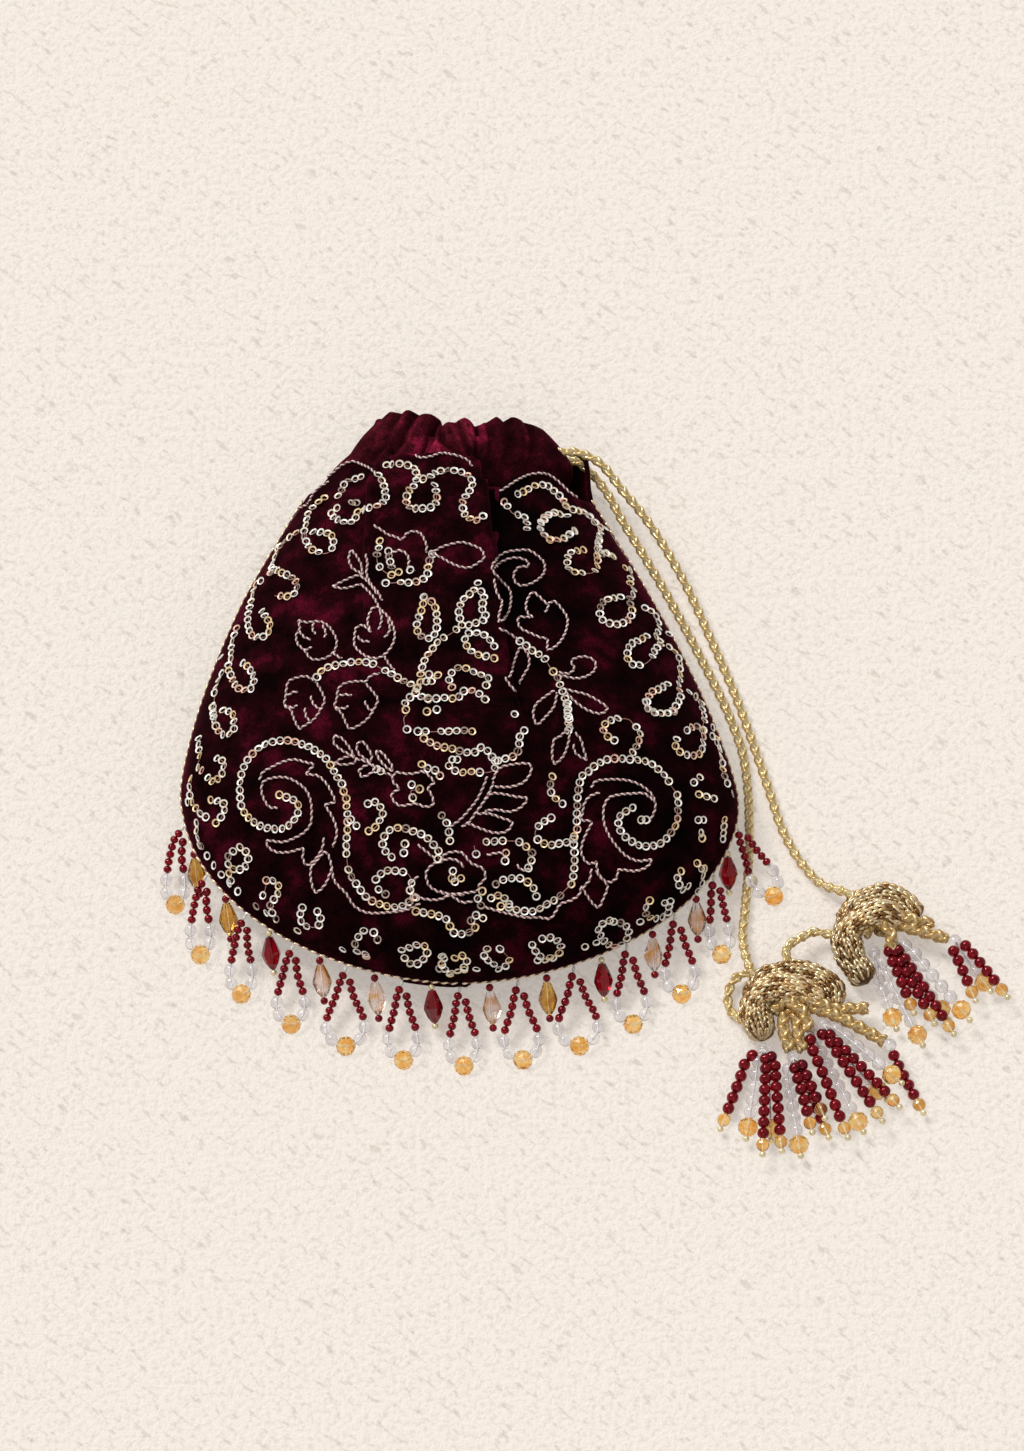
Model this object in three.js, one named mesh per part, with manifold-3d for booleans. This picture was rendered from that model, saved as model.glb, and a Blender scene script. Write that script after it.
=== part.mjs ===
// A lined velvet potli pouch lying on its back: two shaped panels sewn along one seam, a gathered neck with a
// drawstring in its casing, a bead fringe along the lower seam and two bead tassels on the drawstring's ends.
// Millimetres, +Z up, +Y towards the neck. The origin is the middle of the flat patch that the back rests on.
import * as THREE from "three";
import { LoftGeometry } from "three/addons/geometries/LoftGeometry.js";
import { mergeVertices } from "three/addons/utils/BufferGeometryUtils.js";
import Module from "manifold-3d";

const GAP = 0.3; // clear space between pieces that touch

// Pouch: lengths run from the lower seam towards the neck.
const BAG_WIDTH = 191;
const WIDEST_AT = 68;
const BODY_LENGTH = 188; // to the panels' top edge
const SHOULDER_WIDTH = 84; // across the panels' top edge
const BELLY_AT = 80; // where the pouch is thickest
const FRONT_DEPTH = 36; // from the seam up to the top of the belly
const BACK_DEPTH = 15; // from the seam down, before the ground flattens it
const SEAM_LOW = 10; // the seam's height above the ground at the bottom
const SEAM_HIGH = 16; // and at the neck
const NECK_FRONT = 16; // front and back depth at the panels' top edge
const NECK_BACK = 14;
const PANEL = 2;
const LINING = 0.9;

// The box pleat's two folds: where each lies and how far it stands proud, by the share of the body's length.
const RIGHT_FOLD = {
  at: [[0, 30], [0.21, 36], [0.34, 29], [0.49, 18.6], [0.68, 13.5], [1, 9.3]],
  rise: [[0.31, 0], [0.49, 2.4], [0.68, 4.4], [1, 6]],
};
const LEFT_FOLD = { at: [[0, -40], [0.58, -34], [1, -32]], rise: [[0.56, 0], [0.8, 2.6], [1, 4.6]] };
const FOLD = 2.4; // a fold rises over this width

// Neck casing: a velvet strip folded double, gathered into a frill at the rim.
const NECK_LENGTH = 20; // from the panels' top edge to the rim
const TUCK = 10; // hidden inside the panels
const VELVET = 1.2;
const MOUTH_WIDTH = 56;
const MOUTH_FRONT = 13;
const MOUTH_BACK = 12;
const RIM = 3.2; // thickness of the frill's edge
const GATHERS = 15;
const GATHER_DEPTH = 1.6;
const CHANNEL_AT = 8; // the drawstring's height above the panels' top edge

// Drawstring.
const CORD = 3.5;
const CORD_SIDES = 8;
const EXIT_ANGLE = 0.44; // where the two ends turn out of the casing, either side of the right-hand tip
const CORD_REST = 2.05; // height of a cord's middle on the ground

// Beads.
const THREAD = 1.1;
const SEED = { pitch: 2.6, width: 2.8 };
const GOLD_SEED = { pitch: 2.2, width: 2.4 };
const FRINGE_BEAD = { pitch: 2.6, width: 3.1 };
const MAROON = { pitch: 4, width: 4 };
const CLEAR_OVAL = { pitch: 4.6, width: 3.6 };
const CLEAR = { pitch: 4.6, width: 4.6 };
const CAP = { pitch: 4.6, width: 4.6 };
const AMBER = { pitch: 6.6, width: 6.6 };
const SMALL_AMBER = { pitch: 4.6, width: 4.6 };
const DROP = { pitch: 11.2, width: 6.2, rings: [[0.2, 0.5], [0.5, 0.86], [0.7, 1], [0.9, 0.66]] };
const BEAD_SIDES = 5;

// Fringe: loops and drops take turns along the lower seam from one corner to the other.
const LOOPS = 13;
const FRINGE_FROM = 58; // how far up the sides the fringe starts
const LOOP_LENGTH = 29;
const LOOP_SPREADS = [3.4, 3.6, 4, 5, 6.8, 5.2, 5, 6.2, 7, 5.4, 5.4, 3.6, 4.4]; // half widths, left to right
const LOOP_LEANS = [0, 0.1]; // how far the loops lean to the right at the left and right corners
const DROP_LEANS = [0.16, 0.04]; // and the drops
const LAST_LEAN = 0.5; // the last loop is pushed aside by the cord
const SIDE_SWING = 3; // loops on the left side hang this far outside the seam

// Tassels lie on the ground. Places are measured from the hole in a tassel's knotted head: the tube's arch
// and its free leg, the braids, and the bead clusters with their strands' ends.
const HEAD_TUBE = 10.8;
const KNOT = 6;
const BRAID = 4.2;
const CLEAR_STRAND = true;
const TASSELS = [
  {
    name: "front", x: BAG_WIDTH / 2 + 17, y: -85.8, knot: [0, -1.5, 1.2],
    arch: [[-12.6, 1.5, 1], [-10, 6, 2.2], [-4, 8, 2.9], [3, 8, 2.7], [8.5, 7.3, 2], [12.1, 6.2, 1.3]],
    leg: [[-6.2, 5.8, 0], [-10.4, 1.4, 0], [-11.4, -4, 0], [-10.7, -8.6, 0]],
    braids: [
      [[0, -1.5, 1.2], [-2.6, -6, 1.2], [-2.4, -11, 1.2], [-0.4, -17.4, 1.2]],
      [[0, -1.5, 1.2], [1.9, -6, 1.2], [2.2, -11, 1.2], [3.8, -17.4, 1.2]],
      [[0, -1.5, 1.2], [6, -2, 2], [14, -4.6, 2.3], [21.7, -8.4, 2], [31.2, -14, 1.2]],
      [[0, -1.5, 1.2], [7, -2.4, 2], [16, -2.4, 1.4], [26, -1.6, 0.2]],
    ],
    clusters: [
      { on: "leg", share: 1, strands: [
        [-24.8, -45.5, 0], [-10.4, -55.7, 1], [-3.8, -54.5, 1], [-15.9, -49.3, 0, CLEAR_STRAND],
        [-7.3, -50, 0, CLEAR_STRAND],
      ] },
      { on: 0, share: 1, strands: [
        [6.9, -47.8, 1], [2.8, -55.4, 0, CLEAR_STRAND], [11.4, -42.8, 1], [12.6, -48.5, 0],
      ] },
      { on: 1, share: 0.5, side: 1, strands: [
        [19, -49.7, 1], [31, -43.6, 1], [24.5, -46.7, 0, CLEAR_STRAND],
      ] },
      { on: 2, share: 0.38, side: -1, strands: [
        [37, -38.4, 1], [38, -29.6, 1, CLEAR_STRAND], [33, -35, 0, CLEAR_STRAND],
      ] },
      { on: 2, share: 1, strands: [[44.9, -39.5, 0]] },
    ],
  },
  {
    name: "rear", x: BAG_WIDTH / 2 + 46.8, y: -58.6, knot: [1.5, 0, 1.2],
    arch: [
      [-10.4, -2.6, 0.3], [-9.6, 2.1, 0.9], [-7.1, 6.4, 2.1], [-1.9, 9.1, 2.9], [3.6, 10.5, 3.1],
      [7.6, 10.5, 2.3], [9, 10, 1.5],
    ],
    leg: [[-4.6, 7.2, 0], [-8.8, 2.8, 0], [-10.5, -3.6, 0], [-8.8, -10.6, 0], [-6, -15.4, 0]],
    braids: [
      [[1.5, 0, 1.2], [6, 1.2, 1.8], [14, -0.8, 1.8], [24, -3.6, 1.2]],
      [[1.5, 0, 1.2], [7, 1.5, 2], [13, 2.2, 1.4], [19, 2.8, 0.2]],
    ],
    clusters: [
      { on: "leg", share: 0.84, side: 1, strands: [
        [6.4, -36.5, 0, CLEAR_STRAND], [15.4, -42.5, 0, CLEAR_STRAND],
      ] },
      { on: "knot", turn: -0.9, strands: [
        [12.4, -31.6, 1], [26, -39.1, 1], [31.7, -34, 1, CLEAR_STRAND], [19.5, -35.5, 1],
        [24.5, -33, 0, CLEAR_STRAND],
      ] },
      { on: 0, share: 1, strands: [[33.5, -27, 1], [44.7, -25.5, 1], [39.2, -22.5, 0, CLEAR_STRAND]] },
    ],
  },
];

const wasm = await Module();
wasm.setup();

const velvet = new THREE.MeshStandardMaterial({ color: 0x4a0a20, roughness: 0.95, metalness: 0 });
const liningCloth = new THREE.MeshStandardMaterial({ color: 0x6a1a30, roughness: 0.8, metalness: 0 });
const goldBraid = new THREE.MeshStandardMaterial({ color: 0xc8b472, roughness: 0.45, metalness: 0.5 });
const goldKnit = new THREE.MeshStandardMaterial({ color: 0xbe965a, roughness: 0.4, metalness: 0.6 });
const maroonGlass = new THREE.MeshStandardMaterial({ color: 0x6e0514, roughness: 0.15, metalness: 0.1 });
const amberGlass = new THREE.MeshStandardMaterial({ color: 0xe6a028, roughness: 0.1, metalness: 0 });
const rubyGlass = new THREE.MeshStandardMaterial({ color: 0xa00a1e, roughness: 0.1, metalness: 0 });

const potli = new THREE.Group();

function place(name, geometry, material, parent = potli) {
  const mesh = new THREE.Mesh(geometry, material);
  mesh.name = name;
  parent.add(mesh);
  return mesh;
}

function toSolid(geometry) {
  const bare = new THREE.BufferGeometry();
  bare.setAttribute("position", geometry.getAttribute("position"));
  bare.setIndex(geometry.index);
  const merged = mergeVertices(bare, 1e-3);
  const triVerts = new Uint32Array(merged.index.array);
  return new wasm.Manifold(
    new wasm.Mesh({ numProp: 3, vertProperties: merged.attributes.position.array, triVerts }),
  );
}

function toGeometry(solid) {
  const mesh = solid.getMesh();
  const geometry = new THREE.BufferGeometry();
  geometry.setAttribute("position", new THREE.Float32BufferAttribute(mesh.vertProperties, 3));
  geometry.setIndex(Array.from(mesh.triVerts));
  geometry.computeVertexNormals();
  return geometry;
}

function range(count) {
  return [...Array(count).keys()];
}

function mix(a, b, share) {
  return a + (b - a) * share;
}

function clamp01(value) {
  return Math.min(1, Math.max(0, value));
}

// The pouch's size at a length y: a round rise from the bottom to the peak, then a slope up to the top edge.
function profileAt(y, inset, peak, peakAt, top, power) {
  if (y < peakAt) {
    const share = clamp01((y - inset) / (peakAt - inset));
    return (peak - inset) * (1 - (1 - share) ** 2) ** 0.55;
  }
  const share = (y - peakAt) / (BODY_LENGTH - peakAt);
  return peak - inset - (peak - top) * share ** power;
}

function halfWidthAt(y, inset = 0) {
  return profileAt(y, inset, BAG_WIDTH / 2, WIDEST_AT, SHOULDER_WIDTH / 2, 1.45);
}

function seamHeightAt(y) {
  return mix(SEAM_LOW, SEAM_HIGH, clamp01(y / BODY_LENGTH));
}

// A value read off a list of [share of the body's length, value].
function valueAt(list, y) {
  const share = clamp01(y / BODY_LENGTH);
  const next = Math.max(1, list.findIndex(([at]) => at >= share));
  const [[from, low], [to, high]] = [list[next - 1], list[next]];
  return mix(low, high, clamp01((share - from) / (to - from)));
}

// A point on the pouch, drawn in from the outside by inset. Side is 1 on the front, -1 on the back. Panels
// keep a gap at the seam, the lining doesn't.
function pouchPoint(y, angle, inset, side, isPanel, pleat = 0) {
  const x = halfWidthAt(y, inset) * Math.cos(angle);
  const lift = Math.sin(angle) ** mix(1.2, 1, y / BODY_LENGTH);
  const seam = seamHeightAt(y);
  const seamGap = isPanel ? GAP / 2 : 0;
  if (side > 0) {
    const depth = profileAt(y, inset, FRONT_DEPTH, BELLY_AT, NECK_FRONT, 1.6);
    return new THREE.Vector3(x, y, seam + seamGap + (depth + pleat) * lift);
  }
  const depth = profileAt(y, inset, BACK_DEPTH, BELLY_AT, NECK_BACK, 1.6);
  return new THREE.Vector3(x, y, Math.max(inset, seam - seamGap - depth * lift));
}

// Sections follow the pouch from seam to seam, closer together at the round bottom.
const anglesOf = (across) => range(across + 1).map((i) => (Math.PI * i) / across);
const rowsOf = (along) => range(along + 1).map((i) => 1 - Math.cos((Math.PI / 2) * (i / along)));
const FRONT_ROWS = rowsOf(14);
const PLAIN = { angles: anglesOf(12), rows: rowsOf(9) };

// A section of the front, from the right seam over both folds of the pleat to the left seam.
function frontSection(y, inset) {
  const half = halfWidthAt(y, inset);
  const right = Math.min(valueAt(RIGHT_FOLD.at, y), 0.55 * half);
  const left = Math.max(valueAt(LEFT_FOLD.at, y), -0.55 * half);
  const rises = [valueAt(RIGHT_FOLD.rise, y), valueAt(LEFT_FOLD.rise, y)];
  const crests = [right - Math.min(FOLD, 0.2 * half), left + Math.min(FOLD, 0.2 * half)];
  const angleOf = (x) => (half > 0 ? Math.acos(x / half) : Math.PI / 2);
  const sideStrip = range(11).map((i) => i / 10);
  const middle = range(8).map((i) => i / 7);
  return [
    ...sideStrip.map((s) => [s * angleOf(right), 0]),
    ...middle.map((s) => [angleOf(mix(...crests, s)), mix(...rises, s)]),
    ...sideStrip.map((s) => [mix(angleOf(left), Math.PI, s), 0]),
  ].map(([angle, rise]) => pouchPoint(y, angle, inset, 1, true, rise));
}

const backSection = (y, inset) => PLAIN.angles.map((a) => pouchPoint(y, a, inset, -1, true)).reverse();

// One panel: its outer face from seam to seam, then its inner face back, closed over at the top edge.
function panel(section, rows) {
  const sections = rows.map((share) => {
    const outer = section(mix(0, BODY_LENGTH, share), 0).reverse();
    return [...outer, ...section(mix(PANEL, BODY_LENGTH, share), PANEL)];
  });
  return new LoftGeometry(sections, { capEnd: true });
}

// The lining: a thin pouch inside both panels, up to the casing's lower edge.
function liningPouch({ angles, rows }) {
  const top = BODY_LENGTH - TUCK - GAP;
  const ring = (share, inset) => {
    const y = mix(inset, top, share);
    const front = [...angles].reverse().slice(0, -1).map((a) => pouchPoint(y, a, inset, 1, false));
    const back = angles.slice(0, -1).map((a) => pouchPoint(y, a, inset, -1, false));
    return [...front, ...back];
  };
  const outer = rows.map((share) => ring(share, PANEL + 2.5 * GAP));
  const inner = rows.map((share) => ring(share, PANEL + 2.5 * GAP + LINING));
  return new LoftGeometry([...outer, ...inner.reverse()]);
}

const pouch = new THREE.Group();
pouch.position.y = -BELLY_AT;
potli.add(pouch);
place("front_panel", panel(frontSection, FRONT_ROWS), velvet, pouch);
place("back_panel", panel(backSection, PLAIN.rows), velvet, pouch);
place("lining", liningPouch(PLAIN), liningCloth, pouch);

// Neck casing, as a ring round the mouth: inset runs from its outside towards the mouth's middle.
const CHANNEL_Y = BODY_LENGTH + CHANNEL_AT;
const RIM_Y = BODY_LENGTH + NECK_LENGTH;
const CHANNEL_TOP = CHANNEL_Y + CORD / 2 + 2 * GAP;
const FRILL_FROM = CHANNEL_TOP + VELVET;
const CASING = 2 * VELVET + CORD + 5 * GAP;
const NECK_INSET = PANEL + 2 * GAP;

function neckPoint(y, angle, inset) {
  const share = clamp01((y - BODY_LENGTH) / NECK_LENGTH) ** 1.2;
  const half = mix(SHOULDER_WIDTH / 2 - NECK_INSET, MOUTH_WIDTH / 2, share);
  const front = mix(NECK_FRONT - NECK_INSET, MOUTH_FRONT, share);
  const back = mix(NECK_BACK - NECK_INSET, MOUTH_BACK, share);
  const frill = clamp01((y - FRILL_FROM) / (RIM_Y - FRILL_FROM));
  const drawn = inset + GATHER_DEPTH * frill * (0.5 - 0.5 * Math.cos(GATHERS * angle));
  const depth = Math.sin(angle) >= 0 ? front : back;
  return new THREE.Vector3(
    (half - drawn) * Math.cos(angle),
    y,
    SEAM_HIGH + (depth - drawn) * Math.sin(angle),
  );
}

function casing() {
  const low = BODY_LENGTH - TUCK;
  const frillMiddle = mix(FRILL_FROM, RIM_Y, 0.5);
  const strip = [
    [0, low], [0, BODY_LENGTH], [0, FRILL_FROM], [0, frillMiddle], [0.3, RIM_Y - 1], [RIM / 2, RIM_Y],
    [RIM - 0.3, RIM_Y - 1], [mix(CASING, RIM, 0.6), frillMiddle], [CASING, FRILL_FROM], [CASING, low],
    [CASING - VELVET, low], [CASING - VELVET, CHANNEL_TOP], [VELVET, CHANNEL_TOP], [VELVET, low],
  ];
  const turns = 3 * GATHERS;
  const sections = range(turns + 1).map((i) => {
    const angle = (2 * Math.PI * (i % turns)) / turns;
    return strip.map(([inset, y]) => neckPoint(y, angle, inset));
  });
  return new LoftGeometry(sections);
}

// The drawstring inside the casing: round the neck, with both ends turned out through holes on the right.
const channel = CASING / 2;
const exitX = neckPoint(CHANNEL_Y, 0, 0).x + 0.5;
const upperExit = neckPoint(CHANNEL_Y, EXIT_ANGLE, channel);
const lowerExit = neckPoint(CHANNEL_Y, -EXIT_ANGLE, channel);

function cordTube(points, diameter = CORD, spacing = 2.6) {
  const path = new THREE.CatmullRomCurve3(points);
  const section = new THREE.Shape(
    new THREE.EllipseCurve(0, 0, diameter / 2, diameter / 2).getPoints(CORD_SIDES).slice(0, -1),
  );
  const steps = Math.max(3, Math.round(path.getLength() / (spacing * diameter)));
  return new THREE.ExtrudeGeometry(section, { steps, extrudePath: path, bevelEnabled: false });
}

function casingRun() {
  const turns = 26;
  const round = range(turns + 1).map((i) =>
    neckPoint(CHANNEL_Y, mix(EXIT_ANGLE, 2 * Math.PI - EXIT_ANGLE, i / turns), channel),
  );
  const out = (exit) => [0.5, 1].map((s) => new THREE.Vector3(mix(exit.x, exitX, s), CHANNEL_Y, exit.z));
  return cordTube([...out(upperExit).reverse(), ...round, ...out(lowerExit)], CORD, 2);
}

function exitHole(exit) {
  const length = exitX - exit.x + 6;
  const hole = new THREE.CylinderGeometry(CORD / 2 + GAP, CORD / 2 + GAP, length, 12);
  hole.rotateZ(Math.PI / 2);
  hole.translate(exit.x + length / 2, exit.y, exit.z);
  return toSolid(hole);
}

const holedCasing = toSolid(casing()).subtract(exitHole(upperExit)).subtract(exitHole(lowerExit));
place("neck_casing", toGeometry(holedCasing), velvet, pouch);
place("drawstring_casing_run", casingRun(), goldBraid, pouch);

// Beads strung on a curve: a profile of bulges turned on a lathe, then bent along the curve. The reference
// direction keeps the sides from twisting.
function strungBeads(curve, beads, reference) {
  const length = curve.getLength();
  const stretch = length / beads.reduce((sum, bead) => sum + bead.pitch, 0);
  const profile = [new THREE.Vector2(0, 0)];
  let along = 0;
  for (const bead of beads) {
    profile.push(new THREE.Vector2(THREAD / 2, along));
    for (const [share, width] of bead.rings ?? [[0.5, 1]]) {
      profile.push(new THREE.Vector2((bead.width / 2) * width, along + share * bead.pitch * stretch));
    }
    along += bead.pitch * stretch;
  }
  profile.push(new THREE.Vector2(THREAD / 2, length), new THREE.Vector2(0, length));
  const geometry = new THREE.LatheGeometry(profile, BEAD_SIDES);
  const position = geometry.attributes.position;
  for (const i of range(position.count)) {
    const share = clamp01(position.getY(i) / length);
    const tangent = curve.getTangentAt(share);
    const across = new THREE.Vector3().crossVectors(reference, tangent).normalize();
    const up = new THREE.Vector3().crossVectors(across, tangent);
    const point = curve.getPointAt(share);
    point.addScaledVector(across, position.getX(i)).addScaledVector(up, position.getZ(i));
    position.setXYZ(i, point.x, point.y, point.z);
  }
  geometry.computeVertexNormals();
  return geometry;
}

// The lower seam, from the left corner round the bottom to the right one, along the front panel's own edge.
function edgeHalfWidth(y) {
  const lengths = FRONT_ROWS.map((share) => share * BODY_LENGTH);
  const next = lengths.findIndex((length) => length > y);
  const share = (y - lengths[next - 1]) / (lengths[next] - lengths[next - 1]);
  return mix(halfWidthAt(lengths[next - 1]), halfWidthAt(lengths[next]), share);
}

class LowerSeam extends THREE.Curve {
  getPoint(t) {
    const way = 2 * t - 1;
    const y = FRINGE_FROM * way * way;
    return new THREE.Vector3(Math.sign(way) * edgeHalfWidth(y), y, seamHeightAt(y));
  }
}

const seam = new LowerSeam();
const HANG_STEPS = 2 * (LOOPS - 1);

// Where a fringe piece hangs: just outside the seam, and the way it points on the ground.
function hanger(index, leans, clear) {
  const share = index / HANG_STEPS;
  const lean = share < 1 ? mix(...leans, share) : LAST_LEAN;
  const point = seam.getPointAt(share);
  const tangent = seam.getTangentAt(share);
  point.x += tangent.y * clear;
  point.y -= tangent.x * clear;
  const down = new THREE.Vector3(Math.sin(lean), -Math.cos(lean), 0);
  const aside = new THREE.Vector3(Math.cos(lean), Math.sin(lean), 0);
  const swing = SIDE_SWING * Math.min(0, tangent.y);
  return { point, down, aside, swing };
}

// A piece of the fringe slopes from the seam to the ground: the reach and height after a length along it.
function drapeAt(length, whole, drop) {
  const share = length / whole;
  const sag = drop * (1 - (1 - share) ** 1.6);
  return { reach: length * Math.sqrt(1 - (drop / whole) ** 2), fall: sag };
}

function fringeLoop(index) {
  const { point, down, aside, swing } = hanger(2 * index, LOOP_LEANS, THREAD / 2 + GAP);
  const spread = LOOP_SPREADS[index];
  const apart = FRINGE_BEAD.width / 2 + GAP;
  const drop = point.z - AMBER.width / 2 - GAP;
  const half = [[0, 1], [0.62, 0.94], [1, 0.8], [0.95, 0.62]].map(([p, q]) => [p * spread, q * LOOP_LENGTH]);
  const shoulder = [mix(apart, spread, 0.45), 0.38 * LOOP_LENGTH];
  const left = [...half.slice(1).reverse(), half[0]];
  left.unshift([0, 0], [0.15, SEED.pitch], [apart, 2 * FRINGE_BEAD.pitch + 0.4], shoulder);
  const right = [...half.slice(1), shoulder, [apart, 2 * FRINGE_BEAD.pitch + 1.6]];
  const flat = [...left.map(([p, q]) => [-p, q]), ...right];
  const path = flat.map(([p, q]) => {
    const { reach, fall } = drapeAt(q, LOOP_LENGTH, drop);
    const across = p + swing * clamp01((4 * q) / LOOP_LENGTH);
    const on = point.clone().addScaledVector(down, reach).addScaledVector(aside, across);
    on.z -= fall;
    return on;
  });
  const curve = new THREE.CatmullRomCurve3(path);
  const lengths = curve.getLengths((path.length - 1) * 20);
  const toAmber = lengths[(left.length - 1) * 20] - AMBER.pitch / 2;
  const fromAmber = lengths[lengths.length - 1] - lengths[(left.length - 1) * 20] - AMBER.pitch / 2;
  const fill = (room) => {
    const count = Math.max(2, Math.round(room / FRINGE_BEAD.pitch));
    return range(count).map(() => ({ pitch: room / count, width: FRINGE_BEAD.width }));
  };
  const ovals = [CLEAR_OVAL, CLEAR_OVAL];
  const ovalLength = 2 * CLEAR_OVAL.pitch;
  const beads = [
    GOLD_SEED, ...fill(toAmber - ovalLength - GOLD_SEED.pitch), ...ovals, AMBER, ...ovals,
    ...fill(fromAmber - ovalLength),
  ];
  return strungBeads(curve, beads, new THREE.Vector3(0, 0, 1));
}

function fringeDrop(index) {
  const { point, down } = hanger(2 * index + 1, DROP_LEANS, THREAD / 2 + GAP);
  const seed = index % 3 === 2 ? GOLD_SEED : SEED;
  const length = DROP.pitch + 2 * seed.pitch;
  const low = DROP.width / 2 + GAP;
  const drop = Math.min(point.z - low, 0.8 * length);
  const end = point.clone().addScaledVector(down, Math.sqrt(length ** 2 - drop ** 2));
  end.z -= drop;
  return strungBeads(new THREE.LineCurve3(point, end), [seed, DROP, seed], new THREE.Vector3(1, 0, 0));
}

const fringe = new THREE.Group();
fringe.position.y = -BELLY_AT;
potli.add(fringe);
const number = (i) => String(i + 1).padStart(2, "0");
for (const i of range(LOOPS)) place(`fringe_loop_${number(i)}`, fringeLoop(i), maroonGlass, fringe);
for (const i of range(LOOPS - 1)) {
  place(`fringe_drop_${number(i)}`, fringeDrop(i), i % 3 === 2 ? rubyGlass : amberGlass, fringe);
}

// A tassel: a knitted tube bent into a knotted arch, a bunch of braids from a knot in its hole, and clusters
// of bead strands, each hanging from a bead that sits on the tube, the knot or a braid.
const HEAD_HEIGHT = HEAD_TUBE / 2 + GAP;
const LAYER = (MAROON.width + CLEAR.width) / 2 + GAP;
const LOW_LAYER = CLEAR.width / 2 + 2 * GAP;

const onGround = ([x, y, rise]) => new THREE.Vector3(x, y, HEAD_HEIGHT + rise);
const throughPoints = (list) => new THREE.CatmullRomCurve3(list.map(onGround));

function braidBunch({ knot, braids }) {
  const ball = new THREE.SphereGeometry(KNOT / 2, 12, 8);
  ball.translate(...onGround(knot));
  const cords = braids.map((list) => toSolid(cordTube(list.map(onGround), BRAID, 0.9)));
  return toGeometry(cords.reduce((solid, cord) => solid.add(cord), toSolid(ball)));
}

// The knitted tube: an arch over a leg, both with round ends.
function tasselHead({ arch, leg }) {
  const pieces = [arch, leg].flatMap((list) => {
    const ends = [list[0], list[list.length - 1]].map((end) => {
      const ball = new THREE.SphereGeometry(HEAD_TUBE / 2, 12, 8);
      ball.translate(...onGround(end));
      return ball;
    });
    return [cordTube(list.map(onGround), HEAD_TUBE, 0.4), ...ends];
  });
  return toGeometry(wasm.Manifold.union(pieces.map(toSolid)));
}

// The middle of a cluster's first bead, set against what carries it: off its far end, beside it, or on the
// knot.
function capAt({ leg, braids, knot }, { on, share, side, turn }) {
  const away = GAP + CAP.width / 2;
  if (on === "knot") {
    const out = new THREE.Vector3(Math.cos(turn), Math.sin(turn), 0);
    return onGround(knot).addScaledVector(out, KNOT / 2 + away);
  }
  const isLeg = on === "leg";
  const carrier = throughPoints(isLeg ? leg : braids[on]);
  const tangent = carrier.getTangentAt(share);
  const point = carrier.getPointAt(share);
  if (!side) return point.addScaledVector(tangent, away + (isLeg ? HEAD_TUBE / 2 : 0));
  const out = new THREE.Vector3(-side * tangent.y, side * tangent.x, 0).normalize();
  return point.addScaledVector(out, (isLeg ? HEAD_TUBE : BRAID) / 2 + away);
}

function beadStrand(cap, [x, y, layer, isClear]) {
  const tail = isClear ? [AMBER, GOLD_SEED] : [SMALL_AMBER, GOLD_SEED];
  const height = LOW_LAYER + layer * LAYER;
  const tip = new THREE.Vector3(x, y, Math.max(mix(LOW_LAYER, height, 0.6), tail[0].width / 2 + GAP));
  const at = (share, z) => new THREE.Vector3(mix(cap.x, x, share), mix(cap.y, y, share), z);
  const curve = new THREE.CatmullRomCurve3([
    cap, at(0.14, mix(cap.z, height, 0.7)), at(0.35, height), at(0.7, mix(height, tip.z, 0.45)), tip,
  ]);
  const bead = isClear ? CLEAR : MAROON;
  const room = curve.getLength() - CAP.width / 2 - tail[0].pitch - tail[1].pitch;
  const row = range(Math.max(2, Math.round(room / bead.pitch))).map(() => bead);
  const beads = [{ pitch: CAP.width / 2, width: THREAD }, ...row, ...tail];
  return strungBeads(curve, beads, new THREE.Vector3(0, 0, 1));
}

function beadCluster(cap, strands) {
  const ball = new THREE.SphereGeometry(CAP.width / 2, 6, 4);
  ball.translate(...cap);
  const solids = strands.map((strand) => toSolid(beadStrand(cap, strand)));
  return toGeometry(solids.reduce((solid, strand) => solid.add(strand), toSolid(ball)));
}

for (const tassel of TASSELS) {
  const group = new THREE.Group();
  group.position.set(tassel.x, tassel.y, 0);
  potli.add(group);
  place(`tassel_${tassel.name}_head`, tasselHead(tassel), goldKnit, group);
  place(`tassel_${tassel.name}_braids`, braidBunch(tassel), goldBraid, group);
  tassel.clusters.forEach((cluster, i) => {
    const beads = beadCluster(capAt(tassel, cluster), cluster.strands);
    place(`tassel_${tassel.name}_cluster_${i + 1}`, beads, maroonGlass, group);
  });
}

// The free strands of the drawstring: out of the neck, down the right side on to the ground, each to its
// tassel's head. A short bridge of the same cord joins the two heads. X is a share of half the bag's width.
const along = (list) => list.map(([share, y, z]) => new THREE.Vector3((share * BAG_WIDTH) / 2, y, z));
const leadOut = (exit) =>
  [GAP, GAP + CORD].map((clear) => new THREE.Vector3(exitX + clear, CHANNEL_Y - BELLY_AT, exit.z));

// A point beside a head's arch on its outer side, at a distance from its surface.
function atHead({ x, y, arch }, share, distance) {
  const tube = throughPoints(arch);
  const tangent = tube.getTangentAt(share);
  const out = new THREE.Vector3(-tangent.y, tangent.x, 0).normalize();
  const local = tube.getPointAt(share).addScaledVector(out, HEAD_TUBE / 2 + distance);
  return local.add(new THREE.Vector3(x, y, 0));
}

const intoHead = (tassel, share) => [6, GAP].map((distance) => atHead(tassel, share, distance));
const [frontTassel, rearTassel] = TASSELS;

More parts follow.
